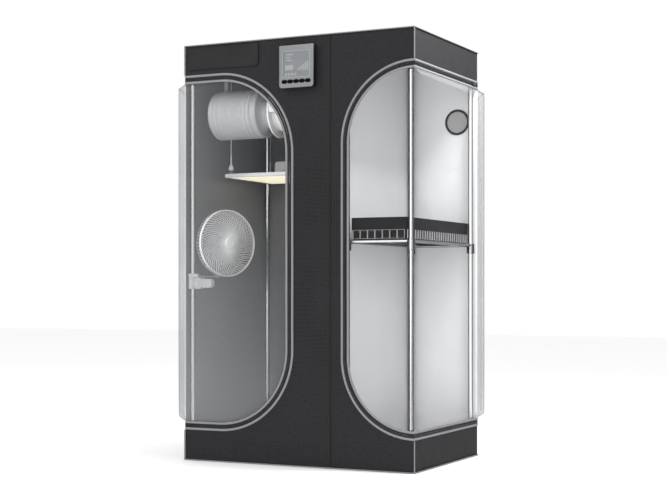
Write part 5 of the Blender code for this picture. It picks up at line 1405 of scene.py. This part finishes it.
class TENT_OT_ropes(bpy.types.Operator):
    """Four hanger ropes: a loop over the bar, a straight fall and a ratchet hook in the light's eye"""
    bl_idname = "tent.ropes"
    bl_label = "Hanger ropes"

    def execute(self, context):
        foot = LIGHT_Z + LIGHT_THICK + 0.0023
        wrap = BAR_RADIUS + 0.0018
        high = RAIL_TOP - wrap
        for x, y, name in ((EYES_X[0], BARS[1], "front_left"), (EYES_X[0], BARS[2], "back_left"),
                (EYES_X[1], BARS[1], "front_right"), (EYES_X[1], BARS[2], "back_right")):
            fall = [Vector((x, y, z)) for z in steps(40, high, foot + 0.033)]
            rope = bmesh.new()
            pipe(rope, fall, 0.0015, 10, DEEP)
            obj = piece(f"rope_{name}", rope, "rope", None, f"hanger_rope_{name}", 60)
            hook = bmesh.new()
            self.hook(hook, Vector((x, y, foot)))
            lower = piece(f"rope_hook_{name}", hook, "white alloy", "light")
            loop = bmesh.new()
            ring = [Vector((x, v, w)) for v, w in arc(49, 90, -270, (y, RAIL_TOP), wrap)]
            pipe(loop, ring, 0.0015, 10, RIGHT)
            ferrule = [(0.0, 0.0024), (0.0005, 0.003), (0.012, 0.003), (0.0125, 0.0024)]
            spun(loop, Vector((x, y, high + 0.001)), -UP, ferrule, 16, 1)
            upper = piece(f"rope_loop_{name}", loop, "rope black", "tent", "", 40)
            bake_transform(obj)
        return {"FINISHED"}

    def hook(self, bm, at):
        """Ratchet body with a wire hook below it."""
        body = [(0.0115, 0.003), (0.0125, 0.007), (0.016, 0.0102), (0.0225, 0.0104), (0.029, 0.0078),
                (0.0345, 0.004), (0.036, 0.003), (0.068, 0.0028), (0.069, 0.0022)]
        rows = []
        for along, r in body:
            rows.append([at + Vector((r * math.cos(a), r * 0.85 * math.sin(a), along)) for a in turns(28)])
        loft(bm, rows)
        wire = [at + Vector((0, 0, 0.013))]
        wire += [at + Vector((u, 0, v)) for u, v in arc(22, 80, -215, (0, 0.0058), 0.0046)]
        pipe(bm, wire, 0.0008, 8, DEEP, 1)


# Clip fan

def on_fan(along, radius=0.0, angle=0.0):
    """A point by its distance along the fan's axis, from it and round it."""
    return FAN_CENTRE + FAN_AXIS * along + (FAN_SIDE * math.cos(angle) + UP * math.sin(angle)) * radius


def guard_tree():
    """Geometry Nodes: one spiral wire on a dome, repeated round the hub."""
    tree, given = open_tree("swirled_guard", Wires="Int", Inner="Float", Outer="Float", Full="Float",
            Dome="Float", Swirl="Float", Wire="Float", Finish="Material")
    count = 14
    line = add(tree, "GeometryNodeMeshLine", {"Count": count, "Offset": (0.001, 0, 0)})
    index = add(tree, "GeometryNodeInputIndex")
    share = add(tree, MATH, {0: index, 1: float(count - 1)}, operation="DIVIDE")
    span = add(tree, MATH, {0: given["Outer"], 1: given["Inner"]}, operation="SUBTRACT")
    grown = add(tree, MATH, {0: share, 1: span}, operation="MULTIPLY")
    radius = add(tree, MATH, {0: given["Inner"], 1: grown}, operation="ADD")
    angle = add(tree, MATH, {0: share, 1: given["Swirl"]}, operation="MULTIPLY")
    away = add(tree, MATH, {0: radius, 1: given["Full"]}, operation="DIVIDE")
    away = add(tree, MATH, {0: away, 1: away}, operation="MULTIPLY")
    drop = add(tree, MATH, {0: 1.0, 1: away}, operation="SUBTRACT")
    spot = {"Z": add(tree, MATH, {0: given["Dome"], 1: drop}, operation="MULTIPLY")}
    for axis, wave in (("X", "COSINE"), ("Y", "SINE")):
        turned = add(tree, MATH, {0: angle}, operation=wave)
        spot[axis] = add(tree, MATH, {0: radius, 1: turned}, operation="MULTIPLY")
    spot = add(tree, "ShaderNodeCombineXYZ", spot)
    bent = add(tree, "GeometryNodeSetPosition", {"Geometry": line, "Position": spot})
    curve = add(tree, "GeometryNodeMeshToCurve", {"Mesh": bent})
    slim = add(tree, MATH, {0: share, 1: 0.55}, operation="MULTIPLY")
    slim = add(tree, MATH, {0: 0.45, 1: slim}, operation="ADD")
    curve = add(tree, "GeometryNodeSetCurveRadius", {"Curve": curve, "Radius": slim})
    section = add(tree, "GeometryNodeCurvePrimitiveCircle", {"Resolution": 8, "Radius": given["Wire"]})
    wire = {"Curve": curve, "Profile Curve": section, "Fill Caps": True}
    wire = add(tree, "GeometryNodeCurveToMesh", wire)
    wire = add(tree, "GeometryNodeSetShadeSmooth", {"Geometry": wire})
    spots = add(tree, "GeometryNodeMeshLine", {"Count": given["Wires"], "Offset": (0, 0, 0)})
    spin = add(tree, MATH, {0: math.tau, 1: given["Wires"]}, operation="DIVIDE")
    spin = add(tree, MATH, {0: index, 1: spin}, operation="MULTIPLY")
    spin = add(tree, "ShaderNodeCombineXYZ", {"Z": spin})
    spin = add(tree, "FunctionNodeEulerToRotation", {"Euler": spin})
    inputs = {"Points": spots, "Instance": wire, "Rotation": spin}
    return close_tree(tree, add(tree, "GeometryNodeInstanceOnPoints", inputs), given["Finish"])


class TENT_OT_clip_fan(bpy.types.Operator):
    """Clip fan: domed guard of swirled wires, bare hub cap, rear cage, motor case and wheel"""
    bl_idname = "tent.clip_fan"
    bl_label = "Clip fan"

    def execute(self, context):
        sizes = context.scene.tent_sizes
        dome = 0.018
        inputs = {"Wires": sizes.grille_wires, "Inner": 0.018, "Outer": GRILLE_RADIUS - 0.0042,
                "Full": GRILLE_RADIUS, "Dome": dome, "Swirl": math.radians(48.0), "Wire": sizes.wire / 2,
                "Finish": look("guard")}
        columns = Matrix((FAN_SIDE, UP, FAN_AXIS)).transposed().to_4x4()
        place = Matrix.Translation(FAN_CENTRE - FAN_AXIS * 0.0012) @ columns
        seed = bpy.data.meshes.new("fan_guard_seed")
        run_tree("fan_guard_wires", seed, guard_tree(), inputs, "fan_head", place)
        bm = bmesh.new()
        r = GRILLE_RADIUS
        low, high = r - 0.0042, r - 0.0006
        section = [(-0.0034, low), (-0.0034, high), (-0.0028, r), (0.0016, r), (0.0032, high),
                (0.0042, r - 0.0018), (0.0042, r - 0.003), (0.0032, low)]
        hoop(bm, FAN_CENTRE, FAN_AXIS, section, 120)
        seat = dome * (1 - (0.02 / r) ** 2)
        cap = [(seat - 0.0044, 0.0222), (seat + 0.0012, 0.0226), (seat + 0.0024, 0.0222)]
        cap += arc(8, 90, 0, (seat + 0.0026, 0.0139), 0.0026, 0.0075)
        cap += [(seat + 0.0054, 0.005), (seat + 0.0055, 0.002)]
        spun(bm, FAN_CENTRE, FAN_AXIS, cap, 64)
        for n in range(4):
            a = math.tau * (n + 0.5) / 4
            at = on_fan(-0.005, r - 0.0014, a)
            radial = (at - on_fan(-0.005)).normalized()
            on = plane(at, FAN_AXIS.cross(radial), FAN_AXIS, radial)
            slab(bm, rounded(0.014, 0.016, 0.002, 3), on, -0.0012, 0.0006, 0.0004)
        piece("fan_guard_ring", bm, "guard", "fan_head", "clip_fan_front_grille")
        self.rear()
        self.drive()
        return {"FINISHED"}

    def rear(self):
        """Rear cage: leaning wires with their rings, behind the front guard."""
        back = -GRILLE_DEPTH
        bm = bmesh.new()
        hold, r = 0.0403, GRILLE_RADIUS
        knots = [(-0.006, r - 0.0024), (back * 0.22, r - 0.0014), (back * 0.4, r * 0.972),
                (back * 0.58, r * 0.9), (back * 0.68, r * 0.78), (back * 0.745, r * 0.64),
                (back * 0.79, hold + 0.01), (back * 0.81, hold + 0.001)]
        outside, inside, lean = knots[0][1], knots[-1][1], math.radians(24.0)
        for first in turns(60):
            path = [on_fan(along, radius, first - lean * (radius - outside) / (inside - outside))
                    for along, radius in smooth_knots(knots, 4)]
            pipe(bm, path, 0.0015, 7, FAN_AXIS)
        front, low, high = -0.0038, r - 0.0042, r - 0.0008
        section = [(front, low), (front - 0.003, low), (front - 0.0036, r - 0.0036),
                (front - 0.0036, r - 0.0016), (front - 0.003, high), (front, high)]
        hoop(bm, FAN_CENTRE, FAN_AXIS, section, 120)
        for share, radius in ((0.58, r * 0.9), (0.745, r * 0.64)):
            ring = [on_fan(back * share, radius, a) for a in steps(97, 0, math.tau)]
            pipe(bm, ring, 0.0013, 7, FAN_AXIS)
        section = [(back * 0.9, hold), (back * 0.9, hold + 0.0026), (back * 0.89, hold + 0.0036),
                (back * 0.79, hold + 0.0036), (back * 0.78, hold + 0.0026), (back * 0.78, hold)]
        hoop(bm, FAN_CENTRE, FAN_AXIS, section, 72)
        piece("fan_rear_cage", bm, "pale", "fan_head", "clip_fan_rear_grille")

    def drive(self):
        """Motor case with its slots and knuckle, and the bladed wheel on its shaft."""
        back = -GRILLE_DEPTH
        case = 0.04
        bm = bmesh.new()
        profile = [(back * 0.78, case - 0.002), (back * 0.79, case), (back * 1.02, case)]
        profile += arc(9, 90, 12, (back * 1.04, case * 0.52), back * 0.175, case * 0.48)
        profile.append((back * 1.22, case * 0.5))
        spun(bm, FAN_CENTRE, FAN_AXIS, profile, 72)
        pivot = FAN_PIVOT
        spun(bm, pivot - FAN_SIDE * 0.0068, FAN_SIDE, [(0.0, 0.008), (0.0008, 0.0088), (0.0128, 0.0088),
                (0.0136, 0.008)], 40)
        spun(bm, pivot, UP, [(0.0, 0.0056), (0.018, 0.0056)], 28)
        spun(bm, on_fan(back * 0.78), FAN_AXIS, [(-0.004, 0.004), (-back * 0.145, 0.004)], 20)
        piece("fan_motor_case", bm, "pale", "fan_head", "clip_fan_motor")
        rails = [[on_fan(back, case - 0.0002, a) for a in steps(121, 0, math.tau)]]
        slot = (0.004, 0.0009, 0.0052)
        along_rails("fan_motor_slots", rails, block_shape, 0.0105, slot, "black", "fan_head")
        wheel = bmesh.new()
        middle = on_fan(back * 0.38)
        hub = 0.017
        nose = [(-hub, 0.0245), (-hub + 0.001, 0.026), (hub * 0.35, 0.026)]
        nose += arc(7, 90, 0, (hub * 0.4, 0.012), hub * 0.55, 0.014)
        nose.append((hub * 0.96, 0.004))
        spun(wheel, middle, FAN_AXIS, nose, 64)
        fan_blades(wheel, middle, FAN_AXIS, 0.0235, 0.1035, 0.034 * 0.72, 7, 0.0018, 26.0)
        piece("fan_wheel_blades", wheel, "wheel", "fan_wheel", "clip_fan_impeller", 40)


class TENT_OT_clamp(bpy.types.Operator):
    """Clip fan's pole clamp: two halves with paddle grips, a stepped knuckle, the arm and the fork"""
    bl_idname = "tent.clamp"
    bl_label = "Fan clamp"

    def execute(self, context):
        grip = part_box("clip_fan_jaw")[1][0]
        fixed = bmesh.new()
        self.half(fixed, -1, grip)
        self.knuckle(fixed)
        swivel = Vector((FAN_PIVOT.x, FAN_PIVOT.y, CLAMP_Z + 0.022))
        begin = Vector((-POLE_X + 0.02, -POLE_Y - 0.004, swivel.z))
        self.bar(fixed, begin, swivel, 0.0066, 0.0007, 0.006)
        spun(fixed, swivel, UP, [(0.0003, 0.0122), (0.0003, 0.0132), (0.0054, 0.0132), (0.0062, 0.0124)], 40)
        piece("fan_clamp_fixed", fixed, "clamp", "tent", "clip_fan_clamp")
        jaw = bmesh.new()
        self.half(jaw, 1, grip)
        piece("fan_clamp_jaw", jaw, "clamp", "fan_jaw", "clip_fan_jaw")
        self.fork(swivel + Vector((0, 0, 0.0066)))
        return {"FINISHED"}

    def half(self, bm, side, grip):
        """One half: a half collar on the pole, a rounded block and a paddle with a round end."""
        hold, outer, tall = 0.0099, 0.0157, 0.042
        rows = []
        for a in steps(24, math.radians(166), math.radians(38)):
            way = Vector((math.cos(a), side * math.sin(a), 0))
            middle = Vector((-POLE_X, -POLE_Y, CLAMP_Z)) + way * (hold + outer) / 2
            rows.append([middle + way * u + UP * v for u, v in rounded(outer - hold, tall, 0.0024, 5)])
        loft(bm, rows)
        root = 0.0132 - POLE_X
        for first, length, height, near, far, corner in (
                (root, 0.03, 0.04, 0.0042, 0.0128, 0.005),
                (root + 0.006, 0.018, 0.0424, 0.005, 0.0136, 0.003),
                (root + 0.024, grip - root - 0.024, 0.033, 0.0056, 0.011, 0.015)):
            on = upright(first + length / 2, -POLE_Y, CLAMP_Z, DEEP * side)
            slab(bm, rounded(length, height, min(corner, length / 2 - 0.001), 8), on, near, far, 0.0014)

    def knuckle(self, bm):
        """Stepped blocks over the front half, where the arm turns."""
        for x, wide, high, deep, corner in ((-0.008, 0.015, 0.015, 0.008, 0.0025),
                (0.004, 0.012, 0.0165, 0.0086, 0.003), (0.017, 0.018, 0.014, 0.008, 0.004)):
            on = upright(x + 0.004 - POLE_X, -POLE_Y - 0.01, CLAMP_Z + 0.021 + high / 2)
            slab(bm, rounded(wide, high, corner, 5), on, -deep / 2, deep / 2, 0.0012)

    def bar(self, bm, begin, end, half, near, far):
        """A round-ended arm from one place to another."""
        run = (end - begin).normalized()
        on = plane((begin + end) / 2, run, run.cross(UP).normalized(), UP)
        slab(bm, rounded((end - begin).length + 0.008, 2 * half, half - 0.0006, 8), on, near, far, 0.001)

    def fork(self, base):
        """The turning neck: a stem, a bridge and two round ears that hold the fan's knuckle."""
        foot = FAN_PIVOT.z - 0.0115
        bm = bmesh.new()
        spun(bm, base, UP, [(0.0, 0.0082), (0.001, 0.0088), (0.005, 0.0088), (0.007, 0.008),
                (foot - base.z - 0.008, 0.008), (foot - base.z - 0.003, 0.0088)], 36)
        middle = Vector((FAN_PIVOT.x, FAN_PIVOT.y, 0))
        on = plane(middle, FAN_AXIS, FAN_SIDE, UP)
        slab(bm, rounded(0.0216, 0.0208, 0.004, 5), on, foot - 0.0058, foot - 0.0004, 0.001)
        ear = [(-0.0108, foot - 0.005), (0.0108, foot - 0.005)]
        ear += arc(13, 0, 180, (0, FAN_PIVOT.z), 0.0108)
        for sign in (-1, 1):
            slab(bm, ear, plane(middle, FAN_AXIS, UP, FAN_SIDE * sign), 0.0076, 0.0104, 0.0006)
        piece("fan_fork", bm, "clamp", "fan_neck", "clip_fan_neck")


def smooth_knots(knots, each):
    """A soft curve through (along, radius) knots."""
    found = []
    last = len(knots) - 1
    for k in range(last):
        p0, p1 = Vector(knots[max(k - 1, 0)]), Vector(knots[k])
        p2, p3 = Vector(knots[k + 1]), Vector(knots[min(k + 2, last)])
        for n in range(each):
            t = n / each
            bend, twist = p0 * 2 - p1 * 5 + p2 * 4 - p3, p1 * 3 - p0 - p2 * 3 + p3
            found.append(tuple((p1 * 2 + (p2 - p0) * t + bend * t * t + twist * t ** 3) * 0.5))
    return found + [knots[-1]]


# Shelf and tray

class TENT_OT_shelf(bpy.types.Operator):
    """Shelf: round rails and a moulded clamp on each pole"""
    bl_idname = "tent.shelf"
    bl_label = "Shelf"

    def execute(self, context):
        bm = bmesh.new()
        hold = 0.0098
        near = hold + 0.0022
        rail = 0.0056
        level = SHELF_Z + SHELF_TUBE - rail
        for y in (-POLE_Y, POLE_Y):
            spun(bm, (DIVIDER_X + near, y, level), RIGHT, [(0.0, rail),
                    (POLE_X - DIVIDER_X - 2 * near, rail)], 32)
        for x in (DIVIDER_X, POLE_X):
            spun(bm, (x, -POLE_Y + near, level), DEEP, [(0.0, rail), (2 * POLE_Y - 2 * near, rail)], 32)
        low, high, outer = 0.763, 0.799, 0.0143
        section = [(low, hold), (low, outer - 0.0008), (low + 0.0008, outer), (high - 0.0008, outer),
                (high, outer - 0.0008), (high, hold)]
        for x in (DIVIDER_X, POLE_X):
            for y in (-POLE_Y, POLE_Y):
                hoop(bm, (x, y, 0), UP, section, 40, 1)
        # rails and clamps both carry the painted highlight of the tubes; the rails use the lighter copy
        piece("shelf_rails", bm, "bright_rail steel", "shelf", "shelf_frame")
        return {"FINISHED"}


class TENT_OT_tray(bpy.types.Operator):
    """Shelf tray: rolled rim, tapered walls, wide cells in front and narrow ribs at the sides"""
    bl_idname = "tent.tray"
    bl_label = "Tray"

    def execute(self, context):
        sizes = context.scene.tent_sizes
        wide, deep = TRAY_X[1] - TRAY_X[0], TRAY_Y[1] - TRAY_Y[0]
        centre = Vector((sum(TRAY_X) / 2, sum(TRAY_Y) / 2, TRAY_BASE))
        step, height, slope = TRAY_STEP, TRAY_HEIGHT, 0.0034

        def ring(shrink, z):
            outline = rounded(wide - 2 * shrink, deep - 2 * shrink, max(0.014 - shrink, 0.004), 8)
            return [centre + Vector((u, v, z)) for u, v in outline]

        levels = [(slope + 0.0034, 0.0), (slope + 0.0022, 0.0006), (slope + 0.0017, 0.002),
                (slope, step - 0.0004), (slope - 0.0012, step), (0.001, step + 0.0008),
                (0.0006, step + 0.002), (0.0003, height - 0.003), (0.0, height - 0.0016),
                (0.0006, height - 0.0003), (0.0014, height), (0.0024, height - 0.0004),
                (0.003, height - 0.0016), (0.0034, step + 0.003), (slope + 0.003, step),
                (slope + 0.0048, 0.0042), (slope + 0.006, 0.003)]
        bm = bmesh.new()
        loft(bm, [ring(s, z) for s, z in levels])
        piece("tray_shell", bm, "tray", "tray", "shelf_tray")
        self.ribs(centre, wide, deep, slope, sizes)
        return {"FINISHED"}

    def ribs(self, centre, wide, deep, slope, sizes):
        """Fins stand between the foot and the step; a cell frame runs round each front cell. Both take the
        pale rib finish, a painted highlight on the edges.
        """
        low, high = 0.003, TRAY_STEP + 0.0004
        mid, tall = (low + high) / 2, high - low
        reach = slope + 0.0006
        pitch = (deep - 0.028) / sizes.side_ribs
        rails = []
        for x, sign in ((TRAY_X[0] + reach / 2 + 0.0004, -1), (TRAY_X[1] - reach / 2 - 0.0004, 1)):
            rails.append([Vector((x, centre.y + n * pitch / 2, TRAY_BASE + mid))
                    for n in (-sizes.side_ribs, sizes.side_ribs)])
        along_rails("tray_side_ribs", rails, block_shape, pitch, (reach, tall, 0.0046), "tray_edge",
                "tray")
        bm = bmesh.new()
        cell = (wide - 0.0187) / sizes.front_cells
        for sign in (-1, 1):
            y = TRAY_Y[0] if sign < 0 else TRAY_Y[1]
            for n in range(sizes.front_cells):
                cx = centre.x + (n - (sizes.front_cells - 1) / 2) * cell
                on = upright(cx, y - sign * 0.0032, TRAY_BASE + mid, DEEP * sign)
                framed(bm, rounded(cell - 0.0006, tall - 0.001, 0.0024, 4),
                        rounded(cell - 0.0026, tall - 0.0028, 0.0016, 4), on, -0.0012, 0.0022)
        piece("tray_cell_frames", bm, "tray_edge", "tray", "", 30)


# Kept solids, stage and sidebar

KEPT = {
    "steel": ("pole_front_left", "pole_back_left", "pole_front_divider", "pole_back_divider",
              "pole_front_right"),
    # the right chamber's back pole takes the lighter tube: painted light standing in for the bright lining
    # round it
    "bright_rail": ("pole_back_right",),
    "rail": ("roof_frame", "floor_frame", "hanger_bar_front", "hanger_bar_middle", "hanger_bar_back"),
    "zipmetal": ("left_zip_slider", "right_zip_slider"),
    "dark": ("controller_back",),
    "grey": ("controller_front",),
    "white": ("duct_fan_control_box",),
    "lcd": ("controller_screen",),
    "ink": tuple(f"controller_button_{n}" for n in range(1, 6)),
    "rubber": ("header_plate",),
}


class TENT_OT_kept(bpy.types.Operator):
    """Finishes for the solids that show as they were packed"""
    bl_idname = "tent.kept"
    bl_label = "Finishes of kept solids"

    def execute(self, context):
        for key, names in KEPT.items():
            for name in names:
                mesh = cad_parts[name].data
                mesh.materials.clear()
                mesh.materials.append(look(key))
        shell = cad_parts["controller_front"].data
        shell.materials.append(look("dark"))
        for face in shell.polygons:
            face.material_index = 1 if abs(face.normal.y) < 0.5 else 0
        return {"FINISHED"}


class TENT_OT_stage(bpy.types.Operator):
    """Pale floor, soft lights, white surround and the camera of the photo"""
    bl_idname = "tent.stage"
    bl_label = "Stage"

    def execute(self, context):
        scene = context.scene
        colours = scene.tent_colours
        self.floor(colours.floor)
        for name, at, towards, size, power in (
                ("key_light", (-2.6, -3.4, 4.2), (0.1, 0.0, 0.7), 3.2, colours.key_power),
                ("front_light", (0.9, -5.6, 1.6), (0.1, 0.0, 0.8), 3.0, colours.front_power),
                ("side_light", (1.0, 0.0, 2.3), (HALF_W, 0.0, 1.5), 0.5, colours.fill_power)):
            self.lamp(name, at, towards, size, power)
        self.surround(scene)
        self.camera(scene)
        scene.view_settings.view_transform = "Standard"
        return {"FINISHED"}

    def floor(self, colour):
        """Wide plain floor just under the tent."""
        bm = bmesh.new()
        bmesh.ops.create_grid(bm, x_segments=1, y_segments=1, size=14.0)
        obj = linked("floor", meshed("floor", bm))
        obj.location.z = -0.0005
        mat, shader, _ = start("floor_painted_matt", 0.9)
        feed(shader, {"Base Color": tuple(colour) + (1.0,)})
        obj.data.materials.append(mat)

    def lamp(self, name, at, towards, size, power):
        """A square soft light that looks at a place."""
        data = bpy.data.lights.new(name, "AREA")
        data.shape = "SQUARE"
        data.size = size
        data.energy = power
        obj = linked(name, data)
        obj.location = at
        obj.rotation_euler = (Vector(towards) - Vector(at)).to_track_quat("-Z", "Y").to_euler()

    def surround(self, scene):
        """Plain white on all sides."""
        world = bpy.data.worlds.new("surround")
        scene.world = world
        world.use_nodes = True
        tree = world.node_tree
        tree.nodes.clear()
        white = add(tree, "ShaderNodeBackground", {"Color": (1, 1, 1, 1), "Strength": SURROUND})
        add(tree, "ShaderNodeOutputWorld", {"Surface": white})

    def camera(self, scene):
        """Level camera with the photo's view, raised by a shift."""
        data = bpy.data.cameras.new("photo_camera")
        data.sensor_width = SENSOR_WIDTH
        data.lens = SENSOR_WIDTH * FOCAL_PIXELS / IMAGE_WIDTH
        data.shift_y = HORIZON_SHIFT
        data.clip_start = 0.05
        obj = linked("photo_camera", data)
        obj.location = CAMERA_PLACE
        obj.rotation_euler = (math.pi / 2, 0.0, math.radians(CAMERA_TURN))
        scene.camera = obj


ORDER = (TENT_OT_cover, TENT_OT_roof_and_floor, TENT_OT_front_seam, TENT_OT_zip_bands, TENT_OT_zip_teeth,
        TENT_OT_doors, TENT_OT_controller, TENT_OT_back_vent, TENT_OT_sleeve, TENT_OT_filter,
        TENT_OT_inline_fan, TENT_OT_straps, TENT_OT_light, TENT_OT_ropes, TENT_OT_clip_fan, TENT_OT_clamp,
        TENT_OT_shelf, TENT_OT_tray, TENT_OT_kept, TENT_OT_stage)


class TENT_PT_panel(bpy.types.Panel):
    """Lists the steps that build the tent, with their settings"""
    bl_idname = "TENT_PT_panel"
    bl_label = "Grow tent"
    bl_space_type = "VIEW_3D"
    bl_region_type = "UI"
    bl_category = "Grow tent"

    def draw(self, context):
        column = self.layout.column()
        for group in (context.scene.tent_sizes, context.scene.tent_colours):
            for name in group.bl_rna.properties.keys():
                if name not in ("rna_type", "name"):
                    column.prop(group, name)
        for step in ORDER:
            column.operator(step.bl_idname)


CLASSES = (TentSizes, TentColours) + ORDER + (TENT_PT_panel,)


def register():
    for cls in CLASSES:
        bpy.utils.register_class(cls)
    bpy.types.Scene.tent_sizes = bpy.props.PointerProperty(type=TentSizes)
    bpy.types.Scene.tent_colours = bpy.props.PointerProperty(type=TentColours)


def unregister():
    del bpy.types.Scene.tent_colours
    del bpy.types.Scene.tent_sizes
    for cls in reversed(CLASSES):
        bpy.utils.unregister_class(cls)


def main():
    register()
    LOOKS.update(make_materials())
    for step in ORDER:
        group, name = step.bl_idname.split(".")
        getattr(getattr(bpy.ops, group), name)()
    bpy.context.view_layer.update()


if __name__ == "__main__":
    main()
